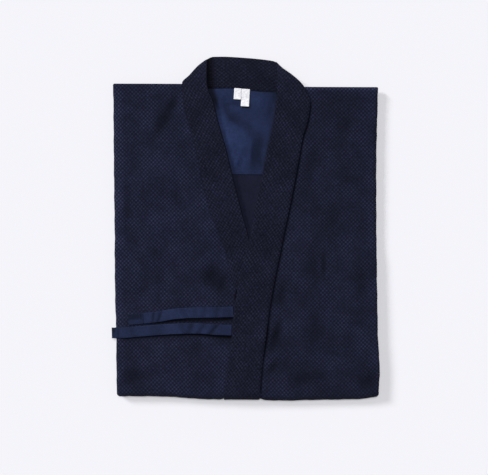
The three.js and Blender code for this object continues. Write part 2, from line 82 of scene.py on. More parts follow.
BUNDLE = table(
    "y top under",
    (248, 16, 11),
    (236, 16.3, 5),
    (218, 16.6, 1.2),
    (150, 17, 1.2),
    (50, 16.6, 1.2),
    (-25, 16.6, 1.2),
    (-46, 17, 10),
    (-125, 18.5, 10),
    (-190, 19.5, 10),
    (-250, 20, 10),
    (-289, 20, 10),
)
SHOULDER_EDGE = table("x y", (-231, 253), (-112, 252.6), (102, 247.4), (231, 246.8))
BOTTOM_EDGE = table(
    "x y",
    (-226, -292.8),
    (-190, -292.6),
    (-150, -293),
    (-119, -294.4),
    (-87, -297),
    (-56, -298.2),
    (-44, -298.4),
    (-38, -296.4),
    (-31, -296.2),
    (20, -296.4),
    (26, -297),
    (33, -299.2),
    (70, -300.2),
    (114, -299),
    (200, -297.3),
    (231, -293),
)
RIGHT_OUTLINE = table(
    "y side seam",
    (248, -231.5, -90),
    (218, -231.3, -84),
    (150, -230.8, -65),
    (100, -230.4, -51),
    (50, -229.9, -41),
    (15, -229.4, -30),
    (-20, -229, -16),
    (-46, -228.7, 2),
    (-90, -228.2, 19.6),
    (-125, -227.7, 12),
    (-190, -225.8, 4.6),
    (-250, -225.4, -3.2),
    (-289, -224.6, -7.2),
)
LEFT_OUTLINE = table(
    "y side seam",
    (248, 230.6, 80),
    (205, 229.9, 83),
    (160, 228.6, 74),
    (126, 228.1, 66),
    (92, 228, 60),
    (50, 228.1, 51),
    (-8, 228.2, 41),
    (-46, 228.3, 35),
    (-90, 228.6, 20),
    (-125, 229.2, 12.4),
    (-190, 230.2, 5),
    (-250, 233.3, -2.8),
    (-289, 231.8, -6.8),
)
SLEEVES = table(
    "left right near far low high",
    (-216, 186, 8, 247.5, 0, 3.6),
    (-190, 214, 13, 245.5, 3, 6.6),
)
SLEEVE_CORNER = 5
SLEEVE_CORNER_POINTS = 5
# A sleeve is a flattened tube, so its edge shows two layers with a groove between them. The columns are the
# share of its height, and how far the edge is set in there.
SLEEVE_EDGE = table(
    "share inset",
    (0, 1.6),
    (0.04, 0.8),
    (0.14, 0.2),
    (0.24, 0),
    (0.38, 0.25),
    (0.46, 0.8),
    (0.5, 1.3),
    (0.54, 0.8),
    (0.62, 0.2),
    (0.76, 0),
    (0.86, 0.2),
    (0.96, 0.8),
    (1, 1.6),
)


def look(rows, column, at, key="y"):
    """A smooth curve through a column of a table. It never overshoots the rows, and is level beyond them."""
    order = np.argsort(rows[key])
    keys = rows[key][order]
    values = rows[column][order]
    gaps = np.diff(keys)
    rates = np.diff(values) / gaps
    slopes = np.concatenate([rates[:1], np.zeros(len(keys) - 2), rates[-1:]])
    rising = rates[:-1] * rates[1:] > 0
    before, after = rates[:-1][rising], rates[1:][rising]
    weigh_before, weigh_after = (2 * gaps[1:] + gaps[:-1])[rising], (gaps[1:] + 2 * gaps[:-1])[rising]
    slopes[1:-1][rising] = (weigh_before + weigh_after) / (weigh_before / before + weigh_after / after)
    at = np.clip(at, keys[0], keys[-1])
    k = np.clip(np.searchsorted(keys, at, "right") - 1, 0, len(keys) - 2)
    span = keys[k + 1] - keys[k]
    t = (at - keys[k]) / span
    start = (1 + 2 * t) * (1 - t) ** 2 * values[k] + t * (1 - t) ** 2 * span * slopes[k]
    end = t**2 * (3 - 2 * t) * values[k + 1] - t**2 * (1 - t) * span * slopes[k + 1]
    return start + end


def smooth(value):
    """Soft step from 0 to 1."""
    clipped = np.clip(value, 0, 1)
    return clipped**2 * (3 - 2 * clipped)


def between(value, start, end):
    """Soft step from 0 at one value to 1 at the other."""
    return smooth((value - start) / (end - start))


def bell(distance, width):
    """Falls softly from 1 to both sides."""
    return np.exp(-((distance / width) ** 2))


def points_at(x, y, z=0):
    return np.stack(np.broadcast_arrays(x, y, z), axis=-1)


def top_at(y):
    return look(BUNDLE, "top", y)


def row_set(y, turn):
    """Rows of the bundle: their nominal y, how far each has turned round a fold, and the turn's axis."""
    lowest = BUNDLE["y"].min()
    at = np.where(turn >= 180, lowest, y)
    under = np.interp(at, BUNDLE["y"][::-1], BUNDLE["under"][::-1])
    columns = {"y": y, "turn": turn, "under": under, "reach": top_at(at) - under}
    return {name: np.asarray(values, float)[:, None] for name, values in columns.items()}


def bundle_rows(step, turn_step, extra=()):
    """All rows: round the shoulder fold, down the front, round the bottom fold, and back to the hem."""
    first, last = BUNDLE["y"].max(), BUNDLE["y"].min()
    down = np.linspace(first, last, round((first - last) / step) + 1)
    down = np.unique(np.concatenate([down, extra]))[::-1]
    back = np.linspace(last, HEM_EDGE_Y, round((HEM_EDGE_Y - last) / step) + 1)[1:]
    shoulder = np.arange(SHOULDER_TURN, 0, turn_step)
    bottom = np.arange(turn_step, 181, turn_step)
    y = np.concatenate([np.full(len(shoulder), first), down, np.full(len(bottom), last), back])
    turn = np.concatenate([shoulder, 0 * down, bottom, np.full(len(back), 180)])
    return row_set(y, turn)


def place(rows, x, out):
    """Points on the rows, x across and out from the fronts' face. The folds follow the curved outlines."""
    reach = rows["reach"] + out
    turn = np.radians(rows["turn"])
    share = np.clip((rows["y"] - BOTTOM_Y) / (SHOULDER_Y - BOTTOM_Y), 0, 1)
    shoulder = look(SHOULDER_EDGE, "y", x, key="x") - SHOULDER_Y
    bottom = look(BOTTOM_EDGE, "y", x, key="x") - BOTTOM_Y
    y = rows["y"] + bottom + (shoulder - bottom) * share - reach * np.sin(turn)
    return points_at(x, y, rows["under"] + reach * np.cos(turn))


def wrap_round(rows, side, depth, turn_step):
    """The side of each row, wrapped round a half circle as high as the row's reach."""
    radius = rows["reach"] / 2
    angle = np.radians(np.arange(0, SIDE_TURN + 1, turn_step))[None, :]
    outwards = np.sign(side)
    x = side - outwards * (radius - (radius - depth) * np.sin(angle))
    return place(rows, x, (radius - depth) * np.cos(angle) - radius)


def outward(points, faces):
    """The faces, turned so that the closed shape that they make faces outwards."""
    a, b, c = (points[faces[:, k]] for k in range(3))
    d = points[faces[:, -1]]
    volume = np.einsum("ij,ij->", a, np.cross(b, c)) + np.einsum("ij,ij->", a, np.cross(c, d))
    return faces if volume > 0 else faces[:, ::-1]


def cloth_shell(outer, inner):
    """Points and faces of a closed wall of cloth between an outer and an inner grid."""
    rows, columns = outer.shape[:2]
    count = rows * columns
    index = np.arange(count).reshape(rows, columns)
    corners = [index[:-1, :-1], index[1:, :-1], index[1:, 1:], index[:-1, 1:]]
    face = np.stack(corners, axis=-1).reshape(-1, 4)
    ring = np.concatenate([index[0, :-1], index[:-1, -1], index[-1, :0:-1], index[:0:-1, 0]])
    following = np.roll(ring, -1)
    rim = np.stack([ring, following, following + count, ring + count], axis=-1)
    points = np.concatenate([outer.reshape(-1, 3), inner.reshape(-1, 3)])
    faces = np.concatenate([face, face[:, ::-1] + count, rim])
    return points, outward(points, faces)


def mesh_piece(name, shells, cloth, masks=None, crisp=45):
    """A mesh of closed shells in millimetres. cloth is each point's place on the flat cloth."""
    points, faces = [], []
    for shell_points, shell_faces in shells:
        shift = sum(len(group) for group in points)
        points.append(shell_points)
        faces.extend([int(corner) + shift for corner in face] for face in shell_faces)
    mesh = bpy.data.meshes.new(name)
    mesh.from_pydata((np.concatenate(points) * MM).tolist(), [], faces)
    place_on_cloth = mesh.attributes.new("cloth", "FLOAT_VECTOR", "POINT")
    place_on_cloth.data.foreach_set("vector", (np.asarray(cloth, float) * MM).ravel())
    for title, values in (masks or {}).items():
        mesh.attributes.new(title, "FLOAT", "POINT").data.foreach_set("value", np.ravel(values))
    mesh.shade_smooth()
    mesh.set_sharp_from_angle(angle=math.radians(crisp))
    piece = bpy.data.objects.new(name, mesh)
    bpy.context.scene.collection.objects.link(piece)
    return piece


def dress(piece, material, slot, *nodes):
    """Gives a piece its material; slot is not used. It rides on the one body, and stands for its solids."""
    piece.data.materials.append(material)
    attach(piece, "root")
    if nodes:
        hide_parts(*nodes)
    return piece


def sleeve_shell(size):
    """A folded sleeve: a flat slab with round corners and two layers at its edge."""
    levels = size["low"] + SLEEVE_EDGE["share"] * (size["high"] - size["low"])
    loops = []
    for level, inset in zip(levels, SLEEVE_EDGE["inset"]):
        left, right = size["left"] + inset, size["right"] - inset
        near, far = size["near"] + inset, size["far"] - inset
        r = SLEEVE_CORNER - inset / 2
        middles = [(right - r, near + r), (right - r, far - r), (left + r, far - r), (left + r, near + r)]
        for quarter, (x, y) in enumerate(middles):
            for angle in np.radians(np.linspace(-90, 0, SLEEVE_CORNER_POINTS) + 90 * quarter):
                loops.append((x + r * math.cos(angle), y + r * math.sin(angle), level))
    points = np.array(loops)
    around = len(points) // len(levels)
    index = np.arange(len(points)).reshape(len(levels), around)
    following = np.roll(index, -1, axis=1)
    sides = np.stack([index[:-1], following[:-1], following[1:], index[1:]], axis=-1).reshape(-1, 4)
    return points, sides.tolist() + [index[0, ::-1].tolist(), index[-1].tolist()]


def hidden_shell():
    """The layers inside the fronts, from one side round to the other, closed along a flat underside."""
    rows = bundle_rows(HIDDEN_STEP, HIDDEN_TURN)
    depth = JACKET_CLOTH + SEAM_GAP
    sides = [look(outline, "side", rows["y"]) for outline in (RIGHT_OUTLINE, LEFT_OUTLINE)]
    wraps = [wrap_round(rows, side, depth, HIDDEN_TURN) for side in sides]
    start, end = sides[0] + rows["reach"] / 2, sides[1] - rows["reach"] / 2
    air = np.clip(rows["reach"] - depth - HIDDEN_FLOOR - LEAST_LAYERS, 0, LOOSE_AIR)
    across = start + (end - start) * np.linspace(0, 1, HIDDEN_COLUMNS)[None, 1:-1]
    upper = np.concatenate([wraps[0][:, ::-1], place(rows, across, -depth - air), wraps[1]], axis=1)
    under = start + (end - start) * np.linspace(0, 1, upper.shape[1])[None, :]
    lower = place(rows, under, HIDDEN_FLOOR - rows["reach"])
    return cloth_shell(upper, lower)


def linear(red, green, blue):
    """A colour given as 0 to 255 on a screen, for a shader."""
    share = np.array([red, green, blue]) / 255
    light = np.where(share <= 0.04045, share / 12.92, ((share + 0.055) / 1.055) ** 2.4)
    return (*light.tolist(), 1.0)


def node(tree, kind, feeds=None, **settings):
    """A shader node with its settings. Each feed is a value, or the output that is linked to that input."""
    made = tree.nodes.new(kind)
    for title, value in settings.items():
        setattr(made, title, value)
    for key, value in (feeds or {}).items():
        if isinstance(value, bpy.types.NodeSocket):
            tree.links.new(value, made.inputs[key])
        else:
            made.inputs[key].default_value = value
    return made


def calc(tree, operation, *feeds):
    return node(tree, "ShaderNodeMath", dict(enumerate(feeds)), operation=operation).outputs[0]


def times(tree, value, *more):
    for factor in more:
        value = calc(tree, "MULTIPLY", value, factor)
    return value


def vector(tree, operation, feeds):
    return node(tree, "ShaderNodeVectorMath", feeds, operation=operation).outputs[0]


def noise(tree, at, scale, **more):
    return node(tree, "ShaderNodeTexNoise", {"Vector": at, "Scale": scale, "Detail": 2.0, **more}).outputs


def spread(tree, value, low, high, to_low=0.0, to_high=1.0, how="SMOOTHSTEP"):
    feeds = {"Value": value, "From Min": low, "From Max": high, "To Min": to_low, "To Max": to_high}
    return node(tree, "ShaderNodeMapRange", feeds, interpolation_type=how).outputs[0]


def blend_colours(tree, share, first, second):
    return node(tree, "ShaderNodeMix", {0: share, 6: first, 7: second}, data_type="RGBA").outputs[2]


def effect(name, inputs, outputs):
    """An empty shader node group. Returns it with the sockets inside it."""
    tree = bpy.data.node_groups.new(name, "ShaderNodeTree")
    for title, kind, value in inputs:
        socket = tree.interface.new_socket(name=title, in_out="INPUT", socket_type=kind)
        if value is not None:
            socket.default_value = value
    for title, kind in outputs:
        tree.interface.new_socket(name=title, in_out="OUTPUT", socket_type=kind)
    return tree, tree.nodes.new("NodeGroupInput").outputs, tree.nodes.new("NodeGroupOutput").inputs


GRAIN_REPEAT = (6.7, 7.1)
GRAIN_WOBBLE = 1.15
YARN_PITCH = 1.15
# How many waves of each unevenness there are in a metre of cloth.
PULLED = 60.0
PRESSED = 38.0
PATCHES = 16.0
SLUBS = 260.0
FUZZ = 900.0
# How much a full painted shade takes from the raised grains, and from the colour.
SHADE_ON_GRAINS = -0.85
SHADE_ON_COLOUR = -0.72


def rice_grain_weave():
    """Raised grains of thick yarn in staggered rows, which is how the jacket cloth is woven."""
    inputs = [
        ("Cloth", "NodeSocketVector", None),
        ("Repeat Across", "NodeSocketFloat", GRAIN_REPEAT[0] * MM),
        ("Repeat Along", "NodeSocketFloat", GRAIN_REPEAT[1] * MM),
        ("Wobble", "NodeSocketFloat", GRAIN_WOBBLE * MM),
    ]
    outputs = [("Raised", "NodeSocketFloat"), ("Yarn", "NodeSocketFloat")]
    tree, given, result = effect("rice grain weave", inputs, outputs)
    centred = vector(tree, "SUBTRACT", {0: noise(tree, given["Cloth"], PULLED)["Color"], 1: (0.5, 0.5, 0.5)})
    moved = vector(tree, "SCALE", {0: centred, "Scale": given["Wobble"]})
    pulled = vector(tree, "ADD", {0: given["Cloth"], 1: moved})
    axes = node(tree, "ShaderNodeSeparateXYZ", {0: pulled}).outputs
    waves = []
    for axis, repeat in (("X", "Repeat Across"), ("Y", "Repeat Along")):
        turns = calc(tree, "DIVIDE", axes[axis], given[repeat])
        waves.append(calc(tree, "COSINE", times(tree, turns, math.tau)))
    pressed = spread(tree, noise(tree, given["Cloth"], PRESSED)["Fac"], 0.32, 0.66, 0.45, 1.0)
    raised = times(tree, spread(tree, times(tree, *waves), -0.45, 0.8), pressed)
    tree.links.new(raised, result["Raised"])
    yarns = calc(tree, "SINE", times(tree, axes["Y"], math.tau / (YARN_PITCH * MM)))
    tree.links.new(spread(tree, yarns, -1, 1), result["Yarn"])
    return tree


def dye_and_fuzz():
    """Slow patches of the dye over the cloth, its thick and thin yarns, and their fine fuzz."""
    inputs = [("Cloth", "NodeSocketVector", None), ("Patch Scale", "NodeSocketFloat", PATCHES)]
    names = ("Patches", "Slubs", "Fuzz")
    tree, given, result = effect("dye and fuzz", inputs, [(name, "NodeSocketFloat") for name in names])
    patches = noise(tree, given["Cloth"], given["Patch Scale"], Detail=3.0, Roughness=0.55)
    slubs, fuzz = noise(tree, given["Cloth"], SLUBS), noise(tree, given["Cloth"], FUZZ)
    for name, made, low in zip(names, (patches, slubs, fuzz), (0.3, 0.28, 0.25)):
        tree.links.new(spread(tree, made["Fac"], low, 1 - low), result[name])
    return tree


RICE_GRAIN = rice_grain_weave()
DYE = dye_and_fuzz()


def cotton(name, roughness, specular, sheen):
    """A material with the gloss of cotton. With it come its tree and shader, the place on the cloth, how the
    dye varies there, and the painted shade of seams, folds and nearby parts, which is painted light where
    negative."""
    material = bpy.data.materials.new(name)
    material.use_nodes = True
    tree = material.node_tree
    shader = tree.nodes["Principled BSDF"]
    shader.inputs["Roughness"].default_value = roughness
    shader.inputs["Specular IOR Level"].default_value = specular
    shader.inputs["Sheen Weight"].default_value = sheen
    shader.inputs["Sheen Roughness"].default_value = 0.5
    at = node(tree, "ShaderNodeAttribute", attribute_name="cloth").outputs["Vector"]
    dye = node(tree, "ShaderNodeGroup", {"Cloth": at}, node_tree=DYE).outputs
    painted_shade = node(tree, "ShaderNodeAttribute", attribute_name="painted_shade_mask").outputs["Fac"]
    return material, tree, shader, at, dye, painted_shade


def paint_cotton(tree, shader, colour, painted_shade, changes, height, relief, strength):
    """Gives the shader its colour and relief. Its tone changes by the given shares, and the painted shade
    darkens it, lightening it where negative.
    """
    shade = calc(tree, "MULTIPLY_ADD", painted_shade, SHADE_ON_COLOUR, 1.0)
    for value, share in changes:
        shade = times(tree, shade, spread(tree, value, 0, 1, 1 - share, 1 + share, "LINEAR"))
    toned = vector(tree, "SCALE", {0: colour, "Scale": shade})
    tree.links.new(toned, shader.inputs["Base Color"])
    bump = node(tree, "ShaderNodeBump", {"Height": height, "Distance": relief * MM, "Strength": strength})
    tree.links.new(bump.outputs[0], shader.inputs["Normal"])


def woven_cotton(name, ground, grain, repeat, relief, uneven):
    """Navy cloth with raised grains: its two colours, the repeat across and along, and the height of a grain.
    uneven is how much its thick and thin yarns differ in tone."""
    material, tree, shader, at, dye, painted_shade = cotton(name, 0.9, 0.06, 0.012)
    feeds = {"Cloth": at, "Repeat Across": repeat[0] * MM, "Repeat Along": repeat[1] * MM}
    weave = node(tree, "ShaderNodeGroup", feeds, node_tree=RICE_GRAIN).outputs
    yarn = spread(tree, weave["Yarn"], 0, 1, 0.82, 1.0, "LINEAR")
    # The painted shade also dims the raised grains.
    unshaded = calc(tree, "MULTIPLY_ADD", painted_shade, SHADE_ON_GRAINS, 1.0)
    raised = times(tree, weave["Raised"], yarn, unshaded)
    colour = blend_colours(tree, raised, linear(*ground), linear(*grain))
    changes = [(dye["Patches"], 0.16), (dye["Slubs"], uneven), (dye["Fuzz"], 0.14)]
    height = calc(tree, "MULTIPLY_ADD", dye["Fuzz"], 0.12, weave["Raised"])
    height = calc(tree, "MULTIPLY_ADD", weave["Yarn"], 0.15, height)
    paint_cotton(tree, shader, colour, painted_shade, changes, height, relief, 0.8)
    return material


jacket_cloth = woven_cotton(
    "navy rice grain cloth", (17.5, 20, 33.5), (37.5, 41, 62.5), GRAIN_REPEAT, 0.6, 0.22
)

shells = [hidden_shell()]
for k in range(len(SLEEVES["left"])):
    shells.append(sleeve_shell({name: values[k] for name, values in SLEEVES.items()}))
hidden_points = np.concatenate([points for points, _ in shells])
hidden_layers = mesh_piece("hidden_layers", shells, hidden_points)
dress(hidden_layers, jacket_cloth, "jacket_cloth", "folded_layers")

# The back. Only its inside shows, in the point of the neck below the lining, and it is the plain reverse
# of the jacket cloth. It is sewn to the fronts at the shoulders and into the collar round the neck.
# The collar's course is set here, because the back dips between its two stretches.
NECK_DIP = 3.2
NECK_SLOPE = 28
NECK_INSIDE = 8
NECK_POINT_Y = -45
NECK_POINT_RUN = 30
NECK_SHOULDER = (212, 242)
NECK_SHOULDER_EASE = 0.6
COLLAR_RIGHT_RUN = table(
    "fold_x fold_y sewn_x sewn_y thick lift",
    (-67.2, 295.8, -71.8, 293.6, 0.8, 0.4),
    (-67.4, 284.6, -82.8, 284.6, 0.9, 1.1),
    (-67.3, 268.8, -97.7, 267.9, 1, 2.1),
    (-66, 246, -111.1, 252.2, 1, 2.8),
    (-57.4, 223.3, -107.8, 218, 1, 2.6),
    (-45.2, 177.8, -96.8, 176, 1, 1.6),
    (-33.8, 137.5, -86.3, 135.8, 1, 0.8),
    (-23.3, 95.5, -77.4, 93.8, 1, 0.4),
    (-15.9, 64, -70, 60.5, 1, 0),
    (-6.7, 29, -60, 25.5, 0.95, 0),
    (5.1, -14.7, -43.5, -13, 0.75, 0),
    (10.8, -37.5, -34, -46, 0.6, 0),
    (14, -66, -24, -84, 0.55, 0),
    (15, -98, -14, -112, 0.4, 0),
)
COLLAR_LEFT_RUN = table(
    "fold_x fold_y sewn_x sewn_y thick lift",
    (52, 291.4, 55.6, 288.8, 0.6, 0.2),
    (53.9, 281.1, 63.9, 280.2, 0.75, 1.2),
    (54.9, 265.3, 81.7, 267.1, 0.95, 2.8),
    (54.6, 246, 101.2, 247.3, 1, 3),
    (52.8, 225, 112, 219.8, 1, 2),
    (49, 193.5, 109.2, 193.5, 1, 1),
    (42.9, 162, 99.4, 160.3, 1, 0.3),
    (36.2, 134, 93.8, 128.8, 1, 0),
    (29.2, 93.8, 87.3, 92.6, 1, 0.3),
    (18.4, 50, 79.1, 50, 1, 1),
    (9.1, -6, 66.8, -7.7, 1, 2.9),
    (-1.4, -44.5, 59.5, -44.5, 1, 3),
    (-11.2, -91.7, 50.6, -88.2, 1, 2.6),
    (-20.5, -140.7, 41.3, -140.7, 1, 1.4),
    (-24.9, -189.7, 34.8, -189.7, 1, 0.4),
    (-30, -231.7, 29.2, -232.8, 1, 0),
    (-35.7, -272, 25.6, -272, 0.9, 0),
)


def ground_at(x, y):
    """Height of the back's inside. It dips between the two stretches of the collar, and under their edges."""
    left = look(COLLAR_RIGHT_RUN, "fold_x", y, key="fold_y")
    right = look(COLLAR_LEFT_RUN, "fold_x", y, key="fold_y")
    outside = np.abs(x - (left + right) / 2) - (right - left) / 2
    across = smooth(1 - (outside + NECK_INSIDE) / NECK_SLOPE)
    at_point = np.clip((y - NECK_POINT_Y) / NECK_POINT_RUN, 0, 1)
    at_shoulder = 1 - NECK_SHOULDER_EASE * between(y, *NECK_SHOULDER)
    return top_at(y) - NECK_DIP * across * at_point * at_shoulder


RIB_PITCH = 1.6


def plain_cotton(name, colour, gloss, thread, patchy=0.16, ribs=0.0):
    """Smooth cotton in a fine plain weave. gloss is its roughness, specular and sheen, thread the
    pitch of its threads, patchy how much its dye varies, and ribs the strength of its cross ribs."""
    material, tree, shader, at, dye, painted_shade = cotton(name, *gloss)
    axes = node(tree, "ShaderNodeSeparateXYZ", {0: at}).outputs
    lines = [calc(tree, "SINE", times(tree, axes[axis], math.tau / (thread * MM))) for axis in "XY"]
    threads = spread(tree, times(tree, *lines), -1, 1)
    changes = [(dye["Patches"], patchy), (threads, 0.1), (dye["Slubs"], 0.12), (dye["Fuzz"], 0.07)]
    height = calc(tree, "MULTIPLY_ADD", dye["Fuzz"], 0.5, threads)
    if ribs:
        rib = calc(tree, "SINE", times(tree, axes["Y"], math.tau / (RIB_PITCH * MM)))
        height = calc(tree, "MULTIPLY_ADD", rib, ribs, height)
    paint_cotton(tree, shader, linear(*colour)[:3], painted_shade, changes, height, 0.12, 0.6)
    return material


def flat_grid(edges, step, rise):
    """A grid between a left and a right edge, and its height: the back's inside and a rise on it."""
    lowest, highest = edges["y"].min(), edges["y"].max()
    down = np.linspace(highest, lowest, round((highest - lowest) / step) + 1)[:, None]
    left, right = look(edges, "left", down), look(edges, "right", down)
    slant = look(edges, "slant", down)
    across = np.linspace(0, 1, round(float((right - left).max()) / step) + 1)[None, :]
    x = left + (right - left) * across
    y = down + slant * across
    return points_at(x, y, ground_at(x, y) + rise(x, y, across))


def cloth_piece(name, solid, faces, cloth, tone, finish, flat, held, rests_on):
    """A wall of cloth between two faces, dressed in its finish. cloth is each point's place on the flat
    cloth, and tone the painted shade on it, which is painted light where negative."""
    both = np.concatenate([cloth.reshape(-1, 3)] * 2)
    painted_shades = np.concatenate([(tone + 0 * cloth[..., 0]).ravel()] * 2)
    piece = mesh_piece(name, [cloth_shell(*faces)], both, {"painted_shade_mask": painted_shades})
    dress(piece, *finish, solid)
    return piece


BACK_STEP = 4
BACK_SEAM = SEAM_GAP + 1.2
BACK_YS = np.array([246, 236, 218, 184, 150, 116, 84, 50, 20, -8, -30, -44], float)
BACK_EDGES = {
    "y": BACK_YS,
    "left": np.interp(BACK_YS, RIGHT_OUTLINE["y"][::-1], RIGHT_OUTLINE["seam"][::-1]) + BACK_SEAM,
    "right": np.interp(BACK_YS, LEFT_OUTLINE["y"][::-1], LEFT_OUTLINE["seam"][::-1]) - BACK_SEAM,
    "slant": -4 * np.clip((BACK_YS - 200) / 46, 0, 1),
}
reverse_colour = (22.5, 24.5, 39.5)
reverse_cloth = plain_cotton("plain reverse of the jacket cloth", reverse_colour, (0.92, 0.05, 0.01), 1.3)
back_walls = []
for deep in (0, JACKET_CLOTH):
    back_walls.append(flat_grid(BACK_EDGES, BACK_STEP, lambda x, y, across: 0 * x - deep))
back_cloth = cloth_piece(
    "back_cloth",
    "back_body",
    back_walls,
    back_walls[0] * (1, 1, 0),
    0,
    (reverse_cloth, "jacket_cloth"),
    flat=(0.13, 0.29),
    held="laid",
    rests_on=[hidden_layers],
)

# The shoulder lining, a yoke of smooth navy cotton inside the back. It is sewn in under the collar at the top
# and at the shoulders, and ends in a narrow stitched hem. It is light cloth, so it lies in small soft folds.
LINING_CLOTH = 1.0
LINING_SEAT = 0.6
LINING_STEP = 1.5
LINING_EDGE_EASE = 0.16
LINING_EDGES = table(
    "y left right slant",
    (246.3, -64.8, 53.2, -6.9),
    (221, -58.3, 53.8, -2),
    (190, -54, 52.5, -2),
    (158, -44.5, 45.5, -1),
    (127, -36, 38.5, -1),
    (95, -28.5, 33, -1),
)
LINING_HEM_Y = 101.5
LINING_HEM_DEPTH = 0.35
LINING_HEM_WIDTH = 1.1
LINING_FOLD_SHARE = 1.25
# Its small folds: the middle, the direction, the half length and half width, and the height or depth.
LINING_FOLDS = table(
    "x y angle length width height",
    (-20, 191, -28, 20, 12, -1.3),
    (-33, 203, -50, 20, 10, -0.7),
    (-3, 181, -22, 26, 12, -0.7),
    (14, 164, -60, 26, 15, -0.5),
    (-14, 208, -30, 22, 9, 0.7),
    (0, 160, -50, 26, 9, 0.7),
    (20, 134, 86, 42, 14, -1.5),
    (9, 134, 84, 26, 7, 0.8),
    (37, 136, 80, 28, 7, 0.8),
    (-9, 114, 80, 16, 6, -1.1),
    (-17, 114, 75, 12, 5, 0.7),
    (27, 110, 95, 16, 6, -0.8),
    (-42, 226, 60, 18, 8, 0.7),
    (-33, 214, 20, 16, 6, -0.6),
    (26, 224, 80, 24, 9, 0.7),
    (44, 208, 85, 30, 8, -1),
    (-30, 160, 75, 30, 10, 0.7),
    (4, 214, 10, 20, 6, -0.5),
)
# Painted light on soft patches that the light catches, and with a negative height painted shade on ones that
# it misses.
LINING_PAINTED_LIGHT = table(
    "x y angle length width height",
    (-17, 157, -79, 66, 27, 0.8),
    (-41, 194, -80, 34, 12, 1),
    (-27, 146, -79, 32, 9, 0.6),
    (-22, 190, -25, 12, 8, -0.5),
    (15, 224, 10, 30, 20, 0.5),
    (-19, 217, 0, 14, 9, -0.55),
    (13, 113, 85, 40, 13, -0.6),
    (22, 148, 85, 44, 15, -0.4),
)
# Painted shade darkens the cloth in the troughs and at both stretches of the collar, most under the one at
# its upper left, which stands over it, and painted light lightens its ridges a little. Each of those shades
# has its two distances from the edge of the lining.
LINING_TROUGH_TONE = 0.44
LINING_RIDGE_LIGHT = -0.15
LINING_DARKEST = 0.95
LINING_LEFT_TONE = 1.05
LINING_LEFT_SHADE = (14, 5)
LINING_LEFT_RISE = (195, 225)
LINING_RIGHT_TONE = 0.5
LINING_RIGHT_SHADE = (11, 2)
LINING_DEEPEST = 1.1
LINING_LEAST_CLOTH = 0.3
DARKEST_TROUGH = 0.8
# Two woven labels lie on the lining. Each is placed by its upper left corner, and a painted shadow darkens
# the lining below its free end and at its right. Those two shadows have how far off they lie, and their half
# width.
LABEL_LEAN = -3.5
LABELS = {
    "label_wide": {"x": -20, "y": 244.4, "width": 12.6, "length": 19.2, "shade": 0.35},
    "label_long": {"x": -7, "y": 243.2, "width": 14.2, "length": 30.1, "shade": 1.25},
}
LABEL_SHADE_BELOW = (0.9, 1.7)
LABEL_SHADE_BESIDE = (0.4, 1.2)
LABEL_BESIDE_SHARE = 0.7
LABEL_SHADE_END = 1.6


def turned(degrees):
    return math.cos(math.radians(degrees)), math.sin(math.radians(degrees))


def soft_folds(rows, x, y):
    """Height that a table of soft ridges and troughs adds at a point."""
    total = np.zeros(np.broadcast(x, y).shape)
    for cx, cy, angle, length, width, height in zip(*rows.values()):
        cos, sin = turned(angle)
        along = ((x - cx) * cos + (y - cy) * sin) / length
        across = ((y - cy) * cos - (x - cx) * sin) / width
        total = total + height * smooth(1 - np.hypot(along, across))
    return total


def lining_rise(x, y):
    """Height of the lining's face over the back."""
    hem = -LINING_HEM_DEPTH * bell(y - LINING_HEM_Y, LINING_HEM_WIDTH)
    folds = soft_folds(LINING_FOLDS, x, y) * LINING_FOLD_SHARE
    trough = LINING_DEEPEST * (np.exp(np.minimum(folds, 0) / LINING_DEEPEST) - 1)
    return LINING_SEAT + LINING_CLOTH + np.maximum(folds, 0) + trough + hem


def trough_painted_shade(rows, x, y, share, lightest=0.0):
    """Painted shade in the troughs, darker the deeper they are. On a ridge it may be painted light."""
    return np.clip(-soft_folds(rows, x, y) * share, lightest, DARKEST_TROUGH)


def lining_face(depth):
    def rise(x, y, across):
        flat = LINING_SEAT + LINING_CLOTH
        inside = smooth(np.minimum(across, 1 - across) / LINING_EDGE_EASE)
        face = flat + (lining_rise(x, y) - flat) * inside
        return np.maximum(face - depth, LINING_LEAST_CLOTH)

    return flat_grid(LINING_EDGES, LINING_STEP, rise)


def label_painted_shadow(x, y):
    """The painted shadow just below a label's free end and beside its right edge, away from the lamp."""
    cos, sin = turned(LABEL_LEAN)
    total = 0 * x
    for size in LABELS.values():
        width, length = size["width"], size["length"]
        across = (x - size["x"]) * cos + (y - size["y"]) * sin
        down = (x - size["x"]) * sin - (y - size["y"]) * cos
        over_width = between(across, -1, 1) * between(across, width + LABEL_SHADE_END, width)
        over_length = between(down, 0, length) * between(down, length + LABEL_SHADE_END, length)
        below = bell(down - length - LABEL_SHADE_BELOW[0], LABEL_SHADE_BELOW[1]) * over_width
        beside = bell(across - width - LABEL_SHADE_BESIDE[0], LABEL_SHADE_BESIDE[1]) * over_length
        total = np.maximum(total, size["shade"] * np.maximum(below, LABEL_BESIDE_SHARE * beside))
    return total


def lining_tone(x, y):
    """Painted shade in the troughs, beside the collar and below the labels, and painted light where the light
    catches the cloth.
    """
    tone = trough_painted_shade(LINING_FOLDS, x, y, LINING_TROUGH_TONE, LINING_RIDGE_LIGHT)
    tone = tone - soft_folds(LINING_PAINTED_LIGHT, x, y)
    dark = LINING_DARKEST * (1 - np.exp(-np.maximum(tone, 0) / LINING_DARKEST))
    tone = np.minimum(tone, 0) + dark
    at_left = between(x - look(LINING_EDGES, "left", y), *LINING_LEFT_SHADE) * between(y, *LINING_LEFT_RISE)
    at_right = between(look(LINING_EDGES, "right", y) - x, *LINING_RIGHT_SHADE)
    tone = tone + (LINING_LEFT_TONE - tone) * at_left
    tone = tone + (LINING_RIGHT_TONE - tone) * at_right
    return tone + label_painted_shadow(x, y)


